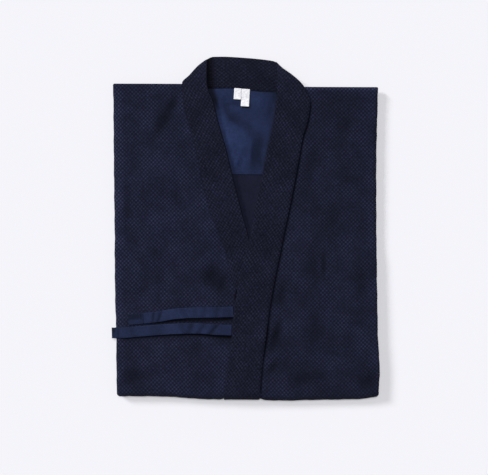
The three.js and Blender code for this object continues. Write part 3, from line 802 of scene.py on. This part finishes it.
SMOOTH_COTTON = ((0.5, 0.045, 0.015), 0.6, 0.26)
lining_cotton = plain_cotton("smooth navy lining", (24.5, 34, 61), *SMOOTH_COTTON)
lining_walls = [lining_face(0), lining_face(LINING_CLOTH)]
lining = cloth_piece(
    "lining_yoke",
    "shoulder_lining",
    lining_walls,
    lining_walls[0] * (1, 1, 0),
    lining_tone(lining_walls[0][..., 0], lining_walls[0][..., 1]),
    (lining_cotton, "lining_cotton"),
    flat=(0.095, 0.152),
    held="laid",
    rests_on=[back_cloth],
)

# The fronts. Each is one length of heavy navy cotton in a raised rice-grain weave, sewn into the collar band.
# The sides are folded behind, and the lower part is turned up behind. The left front laps over the right one.
FRONT_STEP = 3
FRONT_TURN = 10
WRAP_TURN = 7.5
# Broad soft ridges, and the finer creases between them, from folding and storing.
FRONT_FOLDS = table(
    "x y angle length width height",
    (-140, 188, 62, 60, 22, 2),
    (-205, 120, 80, 80, 20, 1),
    (-88, -62, 20, 34, 22, 1.6),
    (-170, -50, 75, 80, 26, 1.2),
    (-100, -235, 6, 90, 24, 1.3),
    (140, -70, 86, 70, 22, 1.6),
    (185, 120, 95, 90, 26, 1),
    (95, -225, 50, 50, 22, 1.5),
    (180, -215, 100, 55, 24, 1.1),
)
FRONT_CREASES = table(
    "x y angle length width height",
    (-143, 188, 62, 52, 17, -1.5),
    (-126, 218, 64, 28, 14, -1.1),
    (-54, -88, 4, 42, 28, -1.4),
    (-62, -74, 60, 30, 18, -0.8),
    (-42, -104, 70, 24, 12, -0.8),
    (-194, -264, 8, 60, 22, -1),
    (-206, 40, 88, 70, 12, -0.5),
    (-120, 60, 100, 60, 16, -0.5),
    (-150, -40, 70, 30, 16, -0.6),
    (-150, -110, 80, 40, 14, -0.5),
    (-85, -213, 80, 34, 20, -0.9),
    (-180, -215, 150, 30, 12, -0.4),
    (-64, -258, 8, 34, 12, -0.5),
    (136, -62, 90, 32, 7, -1.2),
    (118, -66, 84, 44, 22, -0.7),
    (47, -240, 52, 30, 12, -1.2),
    (53, -182, 74, 40, 12, -1.6),
    (62, -112, 78, 38, 13, -0.9),
    (121, -177, 82, 50, 28, -0.8),
    (175, 190, 80, 50, 18, -0.6),
    (112, 110, 78, 60, 20, -0.7),
    (150, 20, 60, 44, 24, -0.5),
    (200, -90, 95, 60, 16, -0.6),
    (110, -262, 5, 56, 20, -0.8),
    (216, -268, 70, 40, 24, -1),
)
FRONT_CREASE_SHARE = 1.3
# Painted shade in the fronts' creases, for each millimetre of their depth.
FRONT_TROUGH_TONE = 0.4
# The left front is a little darker. Painted light lies along the folded sides and the shoulder folds, where
# they catch the lamp: most on the right front's side and the left front's shoulder.
# Each pair is the right front's and the left one's.
FRONT_TONES = (-0.02, 0.11)
SIDE_PAINTED_LIGHT = (-0.3, -0.05)
SHOULDER_PAINTED_LIGHT = (-0.1, -0.45)
SIDE_TONE_WIDTH = 14
SHOULDER_TONE_RUN = 4
SHOULDER_TONE_TURN = -60
# The ties stand off the right front and cast their shadows on it, and a painted shadow darkens its cloth
# further along their lower edges. A station of a tie has its place, its lift, and how dark and how wide the
# painted shadow below it is before it fades.
TIE_WIDTH = 18.5
TIE_SHADE_START = -1.2
TIE_SHADE_FADE = 2.6
TIE_SHADE_END = 2
TIE_SHADE_TIP = 4
SHADE_ROWS = np.arange(-202.0, -100.0, 1.0)
TIE_UPPER_RUN = table(
    "x y lift shade wide",
    (-22.2, -144.6, 1.4, 1.15, 3.4),
    (-50, -145.4, 2.2, 1, 5),
    (-77, -145.8, 2.4, 0.9, 6),
    (-103, -146.6, 2, 1, 5),
    (-126, -148.6, 1.4, 1.15, 3),
    (-151, -153, 0.8, 1, 2.2),
    (-178, -156, 0.3, 0.6, 1.4),
    (-204, -158.3, 0, 0.35, 0.8),
)
TIE_LOWER_RUN = table(
    "x y lift shade wide",
    (-25, -176.4, 1.2, 1.25, 4.2),
    (-50, -175.6, 1.8, 1.2, 3.2),
    (-87, -173.2, 1.8, 1.15, 2.4),
    (-119, -174, 1.5, 1.1, 2),
    (-150, -175.8, 1, 1.1, 1.8),
    (-183, -178.4, 0.7, 1.05, 1.4),
    (-215, -181, 0.5, 0.8, 1.2),
    (-232.8, -181.4, -1, 0.4, 0.8),
)
# A painted shadow of the left stretch of the collar darkens the right front beside its fold, most where it
# first lies on it.
CROSSING_AWAY = 1.4
CROSSING_WIDTH = 1.5
CROSSING_TONES = table(
    "y tone",
    (-40, 0),
    (-90, 0.2),
    (-103, 1.15),
    (-122, 1.15),
    (-134, 0.35),
    (-250, 0.15),
)
# The painted shade along the line of the collar's seam, beside its groove, is widest where the seam opens. A
# wave has its height, pitch and start.
SEAM_LINE = 1.6
SEAM_OPEN = 2.4
SEAM_OPEN_Y = -188
SEAM_OPEN_RUN = 26
SEAM_LINE_END = 9
SEAM_GROOVE = 2.0
SEAM_PUCKER = (0.12, 13, 1.3)
SEAM_PUCKER_REACH = 9
SEAM_OFFSETS = np.array([-3, -2, -1.3, -0.7, -0.2, 0.2, 0.7, 1.3, 2, 3])
SEAM_NEAR = 4.5
SEAM_COLUMNS = 8
SIDE_WAVE = (0.35, 47)
BOTTOM_WAVE = (0.35, 38, 0.7)
BOTTOM_WAVE_RUN = 22
BOTTOM_WAVE_TURN = (150, 80)
BOTTOM_EASE = 26
SHOULDER_EASE = 14


def ripple(at, height, pitch, start):
    """Small unevenness of a fold that was pressed by hand, up to its height."""
    waves = np.sin(math.tau * at / pitch + start) + 0.6 * np.sin(math.tau * at / (pitch * 0.43) + 2.1 * start)
    return height * waves / 1.6


def front_relief(x, y):
    """Height of the soft ridges and creases of the fronts."""
    return soft_folds(FRONT_FOLDS, x, y) + FRONT_CREASE_SHARE * soft_folds(FRONT_CREASES, x, y)


def tie_painted_shadow(x, y):
    """The painted shadow along the lower edges of the ties, which is wider where they stand off the cloth."""
    total = 0 * x
    for run in (TIE_UPPER_RUN, TIE_LOWER_RUN):
        below = look(run, "y", x, key="x") - TIE_WIDTH / 2 - y
        past = np.maximum(below - look(run, "wide", x, key="x"), 0)
        line = between(below, TIE_SHADE_START, 0) * np.exp(-past / TIE_SHADE_FADE)
        tip, root = run["x"].min(), run["x"].max()
        inside = between(x, tip - TIE_SHADE_END, tip + TIE_SHADE_TIP) * between(x, root + TIE_SHADE_END, root)
        total = np.maximum(total, look(run, "shade", x, key="x") * line * inside)
    return total


def crossing_painted_shadow(x, y):
    """The painted shadow on the right front beside the fold of the left stretch of the collar."""
    away = look(COLLAR_LEFT_RUN, "fold_x", y, key="fold_y") - x
    return look(CROSSING_TONES, "tone", y) * bell(away - CROSSING_AWAY, CROSSING_WIDTH)


def front_columns(seam, sewn, flat_end):
    """Places across a front. They are close together along the line where the collar is sewn on."""
    way = np.sign(flat_end - seam)
    widest = float(np.abs(flat_end - sewn).max())
    inner = seam + (sewn - way * SEAM_NEAR - seam) * np.linspace(0, 1, SEAM_COLUMNS)[None, :]
    start = sewn + way * SEAM_NEAR
    outer = start + (flat_end - start) * np.linspace(0, 1, round(widest / FRONT_STEP))[None, :-1]
    return np.concatenate([inner, sewn + way * SEAM_OFFSETS[None, :], outer], axis=1)


def front_grid(rows, outline, run, depth, seam_depth):
    """A front's face at a depth: flat from its seam to near the side, then round the side. With it come each
    point's place on the cloth and its painted light and shade."""
    first, last = BUNDLE["y"].max(), BUNDLE["y"].min()
    y, turn, reach = rows["y"], rows["turn"], rows["reach"]
    turned_up = (turn >= 180) & (y > last)
    seam_y = np.where(turned_up, last, y)
    side = look(outline, "side", y)
    which = int(side[0, 0] > 0)
    side = side + np.sign(side) * ripple(y + turn, *SIDE_WAVE, side[0, 0])
    flat_end = side - np.sign(side) * reach / 2
    x = front_columns(look(outline, "seam", seam_y), look(run, "sewn_x", seam_y, key="sewn_y"), flat_end)
    level = turn == 0
    from_seam = np.abs(x - look(run, "sewn_x", y, key="sewn_y"))
    groove = seam_depth * bell(from_seam, SEAM_GROOVE)
    pucker = ripple(y, *SEAM_PUCKER) * np.exp(-from_seam / SEAM_PUCKER_REACH)
    from_folds = smooth((y - last) / BOTTOM_EASE) * smooth((first - y) / SHOULDER_EASE)
    rise = level * (front_relief(x, y) * from_folds - groove + pucker)
    at_bottom = (1 - smooth((y - last) / BOTTOM_WAVE_RUN)) * (turn >= 0) * between(turn, *BOTTOM_WAVE_TURN)
    flat = place(rows, x, rise + ripple(x, *BOTTOM_WAVE) * at_bottom - depth)
    wrapped = wrap_round(rows, side, depth, WRAP_TURN)
    # Painted shade along the collar's seam, under the ties, beside the crossing and in the creases' troughs;
    # painted light on the folded sides and shoulder folds.
    line_width = SEAM_LINE + SEAM_OPEN * bell(y - SEAM_OPEN_Y, SEAM_OPEN_RUN)
    shade = seam_depth * bell(from_seam, line_width) * smooth((y - last) / SEAM_LINE_END)
    shade = np.maximum(shade + tie_painted_shadow(x, flat[..., 1]), crossing_painted_shadow(x, flat[..., 1]))
    troughs = trough_painted_shade(FRONT_CREASES, x, y, FRONT_TROUGH_TONE) * from_folds
    tone = FRONT_TONES[which] + SIDE_PAINTED_LIGHT[which] * smooth(1 - np.abs(x - flat_end) / SIDE_TONE_WIDTH)
    at_shoulder = between(y, first - SHOULDER_TONE_RUN, first) * (turn > SHOULDER_TONE_TURN) * (turn <= 0)
    tone = tone + SHOULDER_PAINTED_LIGHT[which] * at_shoulder + level * np.maximum(shade, troughs)
    wrapped_tone = np.full(wrapped.shape[:2], SIDE_PAINTED_LIGHT[which] + FRONT_TONES[which])
    angle = np.radians(np.arange(0, SIDE_TURN + 1, WRAP_TURN))[None, :]
    across = np.concatenate([x, flat_end + np.sign(side) * angle * reach / 2], axis=1)
    arc = np.radians(turn) * reach
    cloth = points_at(across, np.where(turned_up, last - arc - (y - last), y - arc))
    return np.concatenate([flat, wrapped], axis=1), cloth, np.concatenate([tone, wrapped_tone], axis=1)


def front_piece(name, solid, outline, run, seam_depth, extra_rows, flat):
    rows = bundle_rows(FRONT_STEP, FRONT_TURN, extra_rows)
    outer, cloth, tone = front_grid(rows, outline, run, 0, seam_depth)
    inner = front_grid(rows, outline, run, JACKET_CLOTH, seam_depth)[0]
    finish = (jacket_cloth, "jacket_cloth")
    return cloth_piece(name, solid, [outer, inner], cloth, tone, finish, flat, "folded", [hidden_layers])


right_run, left_run = COLLAR_RIGHT_RUN, COLLAR_LEFT_RUN
right_front = front_piece(
    "right_front_cloth", "right_front", RIGHT_OUTLINE, right_run, 0.25, SHADE_ROWS, flat=(0.22, 0.81)
)
left_front = front_piece(
    "left_front_cloth", "left_front", LEFT_OUTLINE, left_run, 1.0, (), flat=(0.215, 0.81)
)

# The collar, one long strip of navy cloth doubled to about 57 mm over a stiffener and quilted lengthwise.
# It is sewn over the raw edges of both fronts and round the back of the neck. Behind the neck it stands
# a little, and the left stretch lies over the right one and turns under with the bottom fold.
COLLAR_BAND = 3.6
NECK_BAND = 3.1
COLLAR_STEP = 3
FRONT_BEND = 0.0036
NECK_BEND = 0.0048
BEND_START_Y = SHOULDER_Y - 4
QUILT_LINES = (0.2, 0.48, 0.76)
NECK_LINES = (0.24, 0.5, 0.78, 0.845, 0.91)
QUILT_DEPTH = 0.35
QUILT_WIDTH = 1.2
SEWN_EDGE = 6
SEWN_EDGE_PRESSED = 0.45
# Places across the band, closer together at its two edges and at the quilting lines.
BAND_EDGE = np.array([0, 0.006, 0.014, 0.026, 0.042, 0.065, 0.09])
BAND_MIDDLE = np.arange(0.12, 0.9, 0.035)
LINE_OFFSETS = np.array([-0.045, -0.022, 0, 0.022, 0.045])
LEAST_SPACING = 0.004
# Round the bottom fold the left stretch goes on, thinner, for a short way.
ROUND_FOLD_STEP = 8
ROUND_FOLD_WAY = 16
ROUND_FOLD_OUT = 2
COLLAR_ROUND_FOLD = table(
    "turn fold_x sewn_x thick",
    (0, -37.4, 24.8, 0.75),
    (30, -37.8, 24.5, 0.65),
    (60, -38, 24.3, 0.6),
    (90, -38.2, 24.2, 0.55),
    (115, -38.2, 24.2, 0.5),
)
# Behind the neck: the top fold, and the seam along the lining.
COLLAR_BACK_RUN = table(
    "top_x top_y seam_x seam_y",
    (-73, 291.6, -69.5, 243.8),
    (-66.4, 297.2, -65.4, 243.7),
    (-57, 300.9, -55, 243.6),
    (-38, 301.2, -38, 243.8),
    (-20, 300.3, -20, 243.9),
    (-6, 299.3, -6, 242.4),
    (16, 297.4, 14, 239.2),
    (36, 295, 34, 237.7),
    (48.5, 292.8, 50.6, 237.3),
    (54.5, 290, 57, 237.2),
)
# At both corners of the neck it goes down under the front stretches.
CORNER_DIPS = (1.2, 1.1)
CORNER_RUN = 11
CORNER_Y = 249
CORNER_RISE = 14
# Painted shade darkens the back stretch, most of all in its left corner, where the right stretch stands over
# it. Along its fold the right stretch has a fine painted shadow line.
NECK_TONE = 0.2
NECK_CORNER_TONE = 0.86
NECK_CORNER_SEAM = 0.15
NECK_CORNER = (22, 10)
FOLD_LINE_TONE = 0.9
FOLD_LINE_WIDTH = 2.2

line_places = np.add.outer(QUILT_LINES + NECK_LINES, LINE_OFFSETS).ravel()
shares = np.unique(np.round(np.concatenate([BAND_EDGE, BAND_MIDDLE, line_places, 1 - BAND_EDGE]), 3))
BAND_SHARES = shares[np.concatenate([[True], np.diff(shares) > LEAST_SPACING])][None, :]

def droop_at(y, bend):
    """Beyond the shoulders nothing carries the collar, and it bends down towards the surface."""
    return bend * np.maximum(0, y - BEND_START_Y) ** 2


def resample(run, step, edges=2):
    """A table of stations, smoothly resampled along its middle line, between its edges. The new column run is
    the way along it."""
    names = list(run)[: 2 * edges]
    middle_x = sum(run[name] for name in names[::2]) / edges
    middle_y = sum(run[name] for name in names[1::2]) / edges
    way = np.concatenate([[0], np.cumsum(np.hypot(np.diff(middle_x), np.diff(middle_y)))])
    keyed = {**run, "run": way}
    at = np.linspace(0, way[-1], round(way[-1] / step) + 1)
    return {name: look(keyed, name, at, key="run")[:, None] for name in keyed}


def over_band(start, end):
    return start + (end - start) * BAND_SHARES


def band_heights(width, thick, way, lines=QUILT_LINES):
    """Top and underside of the doubled band over its seat: a rolled fold, quilted rows, and a sewn edge."""
    from_fold = BAND_SHARES * width
    to_seam = width - from_fold
    roll = np.clip(1 - from_fold / (thick / 2), 0, 1)
    bulge = thick / 2 * np.sqrt(np.maximum(0.02, 1 - roll**2))
    pressed = 1 - SEWN_EDGE_PRESSED * np.clip(1 - to_seam / SEWN_EDGE, 0, 1) ** 2
    channels = sum(bell((BAND_SHARES - line) * width, QUILT_WIDTH) for line in lines)
    loose = ripple(way + 9 * BAND_SHARES, 0.16, 61, 0.4) + ripple(way - 14 * BAND_SHARES, 0.08, 17, 1.9)
    top = (thick / 2 + bulge) * pressed - (QUILT_DEPTH * channels - loose) * (thick / COLLAR_BAND)
    under = thick / 2 - bulge
    return top, under


def collar_faces(run):
    """Both faces of a stretch of the collar down a front, and each point's place on the cloth."""
    stations = resample(run, COLLAR_STEP)
    fold_x, fold_y, sewn_x, sewn_y, thick, lift, way = stations.values()
    x = over_band(fold_x + ripple(way, 0.3, 83, run["fold_x"][0]), sewn_x)
    y = over_band(fold_y, sewn_y)
    width = np.hypot(sewn_x - fold_x, sewn_y - fold_y)
    seat = top_at(y) + SEAM_GAP + lift * smooth(1.2 - BAND_SHARES) - droop_at(y, FRONT_BEND)
    heights = band_heights(width, COLLAR_BAND * thick, way)
    return [points_at(x, y, seat + height) for height in heights], points_at(BAND_SHARES * width, -way)


def collar_round_fold(way_before):
    """The same where the left stretch goes round the bottom fold, after the way down the front."""
    turn = np.arange(0, COLLAR_ROUND_FOLD["turn"].max() + 1, ROUND_FOLD_STEP)
    rows = row_set(np.full(len(turn), BUNDLE["y"].min()), turn)
    columns = ("fold_x", "sewn_x", "thick")
    fold_x, sewn_x, thick = (look(COLLAR_ROUND_FOLD, name, rows["turn"], key="turn") for name in columns)
    way = way_before + ROUND_FOLD_WAY + np.radians(rows["turn"]) * (rows["reach"] + ROUND_FOLD_OUT)
    heights = band_heights(sewn_x - fold_x, COLLAR_BAND * thick, way)
    faces = [place(rows, over_band(fold_x, sewn_x), SEAM_GAP + height) for height in heights]
    return faces, points_at(BAND_SHARES * (sewn_x - fold_x), -way)


def neck_faces():
    """Both faces of the collar behind the neck, from its top fold to its seam, its cloth and its painted
    shade.
    """
    top_x, top_y, seam_x, seam_y, way = resample(COLLAR_BACK_RUN, COLLAR_STEP).values()
    x, y = over_band(top_x, seam_x), over_band(top_y, seam_y)
    width = top_y - seam_y
    ends = (way, way.max() - way)
    corner = sum(dip * smooth(1 - end / CORNER_RUN) for dip, end in zip(CORNER_DIPS, ends))
    corner = corner * smooth((y - CORNER_Y) / CORNER_RISE)
    seat = ground_at(x, y) + SEAM_GAP - droop_at(y, NECK_BEND) - corner
    heights = band_heights(width, NECK_BAND + 0 * width, way, NECK_LINES)
    in_corner = between(way, *NECK_CORNER) * (1 - NECK_CORNER_SEAM + NECK_CORNER_SEAM * BAND_SHARES)
    faces = [points_at(x, y, seat + height) for height in heights]
    return faces, points_at(BAND_SHARES * width, -way), NECK_TONE + NECK_CORNER_TONE * in_corner


collar_cloth = woven_cotton("navy collar cloth", (15, 17, 29.5), (32, 34.5, 52.5), (6.2, 7.6), 0.5, 0.34)
finish = (collar_cloth, "collar_cloth")
back_faces, back_place, back_tone = neck_faces()
right_faces, right_place = collar_faces(COLLAR_RIGHT_RUN)
left_faces, left_place = collar_faces(COLLAR_LEFT_RUN)
round_faces, round_place = collar_round_fold(-left_place[..., 1].min())
left_faces = [np.concatenate(pair) for pair in zip(left_faces, round_faces)]
left_place = np.concatenate([left_place, round_place])
fold_painted_shadow = FOLD_LINE_TONE * smooth(1 - right_place[..., 0] / FOLD_LINE_WIDTH)

sheet = {"flat": (0.128, 0.052), "held": "stretched", "rests_on": [back_cloth]}
cloth_piece("collar_behind_neck", "collar_back", back_faces, back_place, back_tone, finish, **sheet)
sheet = {"flat": (0.054, 0.405), "held": "folded", "rests_on": [right_front]}
collar_under = cloth_piece(
    "collar_right_stretch", "collar_right", right_faces, right_place, fold_painted_shadow, finish, **sheet
)
sheet = {"flat": (0.058, 0.61), "held": "folded", "rests_on": [left_front, collar_under]}
cloth_piece("collar_left_stretch", "collar_left", left_faces, left_place, 0, finish, **sheet)

# Two of the four ties, flat tapes of smooth navy cotton, folded and stitched along their length.
# They come out from under the collar band, which holds their ends, and lie loose on the right front.
TIE_TAPE = 1.3
TIE_STEP = 2
TIE_SEAT = SEAM_GAP + 0.25
# Painted shade in a tie's creases and painted light on their ridges, for each millimetre of their height.
TIE_CREASE_TONE = -0.85
TIE_DEEPEST = -0.5
# Creases across a tie: how far along it, the lean, the half width, and the height or depth.
UPPER_CREASES = table(
    "at lean width height",
    (6, 0.1, 4, -0.3),
    (17, 0.2, 2.6, 0.5),
    (28, 0.3, 5, -0.4),
    (38, -0.2, 4, 0.3),
    (50, 0.3, 4, -0.4),
    (70, 0.1, 6, 0.3),
    (84, -0.4, 5, -0.3),
    (104, 0.2, 6, 0.3),
    (128, 0.5, 2.4, -0.8),
    (133, 0.4, 2.6, 0.6),
    (139, 0.2, 2.2, -0.7),
    (157, 0, 1.8, -0.8),
    (161, 0, 1.6, 0.5),
)
LOWER_CREASES = table(
    "at lean width height",
    (10, 0, 3, 0.3),
    (31, 0.7, 4, -0.9),
    (39, 0.6, 4, 0.5),
    (52, 0.6, 4, -0.6),
    (61, 0.3, 4, 0.4),
    (72, 0.4, 5, -0.7),
    (84, -0.2, 4, -0.5),
    (96, 0.1, 5, 0.4),
    (122, 0.4, 6, -0.35),
    (150, 0.2, 6, 0.3),
    (172, -0.3, 5, -0.3),
    (197, 0, 2.6, -0.6),
)
# The upper half of a tie's turned end is darker.
END_TONE = 0.2
END_UPPER_TONE = 0.6
TIE_HALF = np.array([0, 0.2, 0.4, 0.6, 0.78, 0.9, 0.97, 1])
TIE_SHARES = np.concatenate([-TIE_HALF[:0:-1], TIE_HALF])[None, :]


def tie_faces(run, creases, end):
    """Both faces of a tie, each point's place on its cloth, and its tone: painted shade in its creases,
    painted light on their ridges, and a darker end.
    """
    x, y, lift, _, _, at = resample(run, TIE_STEP, edges=1).values()
    dx, dy = np.gradient(x, axis=0), np.gradient(y, axis=0)
    long = np.hypot(dx, dy)
    across = TIE_SHARES * (TIE_WIDTH / 2 + ripple(at, 0.15, 29, 0.9))
    px = x - dy / long * across
    py = y + dx / long * across
    rows = zip(*creases.values())
    folds = sum(height * bell(at - centre - lean * across, width) for centre, lean, width, height in rows)
    edge = np.abs(TIE_SHARES)
    rounding = np.sqrt(np.maximum(0.03, 1 - np.clip((edge - 0.86) / 0.14, 0, 1) ** 2))
    curl = 0.2 * (1 - edge**2) + ripple(at + 6 * TIE_SHARES, 0.12, 23, 0.2) + 0.3
    seat = top_at(py) + front_relief(px, py) + TIE_SEAT + lift + curl + np.maximum(folds, TIE_DEEPEST)
    middle = seat + TIE_TAPE / 2
    faces = [points_at(px, py, middle + side * TIE_TAPE / 2 * rounding) for side in (1, -1)]
    tucked = smooth((at - end) / 3) * (END_TONE + END_UPPER_TONE * between(across, 3, -2))
    return faces, points_at(across, at), np.maximum(np.clip(TIE_CREASE_TONE * folds, -0.35, 0.8), tucked)


tie_cotton = plain_cotton("smooth navy tape", (26, 34.5, 60), *SMOOTH_COTTON)
tie_edges = []
for name, solid, run, creases, end, flat in (
    ("upper_tie", "tie_upper", TIE_UPPER_RUN, UPPER_CREASES, 157, (0.0185, 0.183)),
    ("lower_tie", "tie_lower", TIE_LOWER_RUN, LOWER_CREASES, 201, (0.0185, 0.208)),
):
    faces, cloth, tone = tie_faces(run, creases, end)
    cloth_piece(name, solid, faces, cloth, tone, (tie_cotton, "tie_cotton"), flat, "laid", [right_front])
    tie_edges += [faces[0][1:-1, column] for column in (2, -3)]

# Two woven labels of white tape, blank, caught in the collar seam at the back of the neck.
# The wide one lies beside the long one. Both curl up a little at the free end.
LABEL_TAPE = 1.0
LABEL_SEAT = SEAM_GAP + 0.15
LABEL_CURL = 1.6


def label_faces(size):
    """Both faces of a label on the lining. Its free end lifts a little."""
    x, y, width, length = (size[name] for name in ("x", "y", "width", "length"))
    cos, sin = turned(LABEL_LEAN)
    across = np.linspace(0, 1, 19)[None, :] * width
    down = np.linspace(0, 1, 31)[:, None] * length
    px = x + across * cos + down * sin
    py = y + across * sin - down * cos
    curl = LABEL_CURL * smooth((down / length - 0.5) / 0.5) * (0.5 + 0.5 * across / width)
    soft = ripple(down + 0.4 * across, 0.1, 11, 0.5)
    seat = ground_at(px, py) + np.maximum(lining_rise(px, py), LINING_SEAT + LINING_CLOTH) + LABEL_SEAT
    rim = np.minimum(np.minimum(across, width - across), np.minimum(down + 2, length - down))
    round_edge = np.sqrt(np.maximum(0.06, 1 - np.clip(1 - rim / 0.5, 0, 1) ** 2))
    middle = seat + curl + soft + LABEL_TAPE / 2
    faces = [points_at(px, py, middle + side * LABEL_TAPE / 2 * round_edge) for side in (1, -1)]
    return faces, points_at(across, down)


label_tape = plain_cotton("blank white woven tape", (229, 229, 232), (0.5, 0.2, 0.05), 0.5, ribs=0.8)
for name, size in LABELS.items():
    faces, cloth = label_faces(size)
    flat = (size["width"] * MM, size["length"] * MM)
    cloth_piece(name + "_tape", name, faces, cloth, 0, (label_tape, "label_tape"), flat, "laid", [lining])

# The stitching, in navy thread. Rows run along the collar, the hem of the lining and both edges of each tie.
# Each stitch is a short grain of thread, sunk in the cloth at both ends.
THREAD = 0.55
STITCH_PITCH = 3.6
STITCH_LENGTH = 2.7
STITCH_REACH = 0.5
COLLAR_THREAD = (24, 27, 43)
LIGHTER_THREAD = (34, 43, 72)
GRAIN_RINGS = table(
    "along round sink",
    (-1, 0.25, -0.35),
    (-0.62, 0.85, -0.05),
    (0, 1, 0),
    (0.62, 0.85, -0.05),
    (1, 0.25, -0.35),
)
GRAIN_SIDES = 6
GRAIN_FLATNESS = 0.75


def stitches(path):
    """Closed grains of thread along a path on the cloth, one at each pitch."""
    way = np.concatenate([[0], np.cumsum(np.linalg.norm(np.diff(path, axis=0), axis=1))])

    def path_at(places):
        return np.stack([np.interp(places, way, path[:, k]) for k in range(3)], axis=-1)

    centres = np.arange(STITCH_PITCH / 2, way[-1], STITCH_PITCH)
    forward = path_at(centres + STITCH_REACH) - path_at(centres - STITCH_REACH)
    forward /= np.linalg.norm(forward, axis=1)[:, None]
    sideways = np.cross(forward, (0, 0, 1))
    sideways /= np.linalg.norm(sideways, axis=1)[:, None]
    up = np.cross(sideways, forward)
    shells = []
    angles = math.tau * np.arange(GRAIN_SIDES) / GRAIN_SIDES
    for centre, ahead_way, side_way, up_way in zip(path_at(centres), forward, sideways, up):
        rings = []
        for along, round_size, sink in zip(*GRAIN_RINGS.values()):
            axis = centre + ahead_way * along * STITCH_LENGTH / 2 + up_way * sink * THREAD
            offsets = [side_way * math.cos(a) + up_way * GRAIN_FLATNESS * math.sin(a) for a in angles]
            rings.append(axis + np.array(offsets) * round_size * THREAD / 2)
        points = np.concatenate(rings)
        index = np.arange(len(points)).reshape(len(rings), GRAIN_SIDES)
        following = np.roll(index, -1, axis=1)
        sides = np.stack([index[:-1], index[1:], following[1:], following[:-1]], axis=-1).reshape(-1, 4)
        shells.append((points, sides.tolist() + [index[0].tolist(), index[-1, ::-1].tolist()]))
    return shells


def thread_piece(name, paths, slot, colour):
    shells = [grain for path in paths for grain in stitches(path)]
    points = np.concatenate([shell[0] for shell in shells])
    piece = mesh_piece(name, shells, points, crisp=80)
    dress(piece, plain_cotton(name + " thread", colour, (0.6, 0.08, 0.02), 0.3), slot)


collar_lines = {
    "right": (right_faces[0], QUILT_LINES),
    "left": (left_faces[0], QUILT_LINES),
    "neck": (back_faces[0], NECK_LINES),
}
for name, (face, lines) in collar_lines.items():
    paths = [face[2:, int(np.argmin(np.abs(BAND_SHARES[0] - line)))] for line in lines]
    thread_piece(f"collar_{name}_stitching", paths, "collar_cloth", COLLAR_THREAD)
hem_x = np.linspace(-27, 30, 40)
hem_z = ground_at(hem_x, LINING_HEM_Y + 0 * hem_x) + lining_rise(hem_x, LINING_HEM_Y + 0 * hem_x)
hem = points_at(hem_x, LINING_HEM_Y, hem_z)
thread_piece("lining_hem_stitching", [hem], "lining_cotton", LIGHTER_THREAD)
thread_piece("tie_stitching", tie_edges, "tie_cotton", LIGHTER_THREAD)

# The surface, a plain pale sheet that runs far past the picture on every side. One soft lamp stands far off
# to the left, another hangs nearly overhead, and pale walls give the rest of the light.
FLOOR_HALF = 6.0
FLOOR_COLOUR = (222, 222, 224)
LAMPS = table(
    "height side spread strength",
    (30, 146, 16, 2.24),
    (79, 92, 20, 2.56),
)
LIGHT_COLOUR = (0.97, 0.97, 1.0)
WALLS_LIGHT = 0.127
WALLS_SEEN = 0.93

floor_mesh = bpy.data.meshes.new("pale_surface")
corners = [(x * FLOOR_HALF, y * FLOOR_HALF, 0) for x, y in ((-1, -1), (1, -1), (1, 1), (-1, 1))]
floor_mesh.from_pydata(corners, [], [(0, 1, 2, 3)])
floor = bpy.data.objects.new("pale_surface", floor_mesh)
bpy.context.scene.collection.objects.link(floor)
floor_paint = bpy.data.materials.new("pale surface")
floor_paint.use_nodes = True
floor_shader = floor_paint.node_tree.nodes["Principled BSDF"]
floor_shader.inputs["Base Color"].default_value = linear(*FLOOR_COLOUR)
floor_shader.inputs["Roughness"].default_value = 0.9
floor_shader.inputs["Specular IOR Level"].default_value = 0.1
floor_mesh.materials.append(floor_paint)

for height, side, spread_angle, strength in zip(*LAMPS.values()):
    lamp_data = bpy.data.lights.new("soft_lamp", "SUN")
    lamp_data.angle = math.radians(spread_angle)
    lamp_data.energy = strength
    lamp_data.color = LIGHT_COLOUR
    lamp = bpy.data.objects.new("soft_lamp", lamp_data)
    lamp.rotation_euler = (math.radians(90 - height), 0, math.radians(side + 90))
    bpy.context.scene.collection.objects.link(lamp)

walls = bpy.data.worlds.new("pale_walls")
walls.use_nodes = True
walls_paint = walls.node_tree.nodes["Background"]
walls_paint.inputs["Color"].default_value = (*LIGHT_COLOUR, 1.0)
seen = node(walls.node_tree, "ShaderNodeLightPath").outputs["Is Camera Ray"]
light = calc(walls.node_tree, "MULTIPLY_ADD", seen, WALLS_SEEN - WALLS_LIGHT, WALLS_LIGHT)
walls.node_tree.links.new(light, walls_paint.inputs["Strength"])
bpy.context.scene.world = walls
bpy.context.scene.view_settings.view_transform = "Standard"
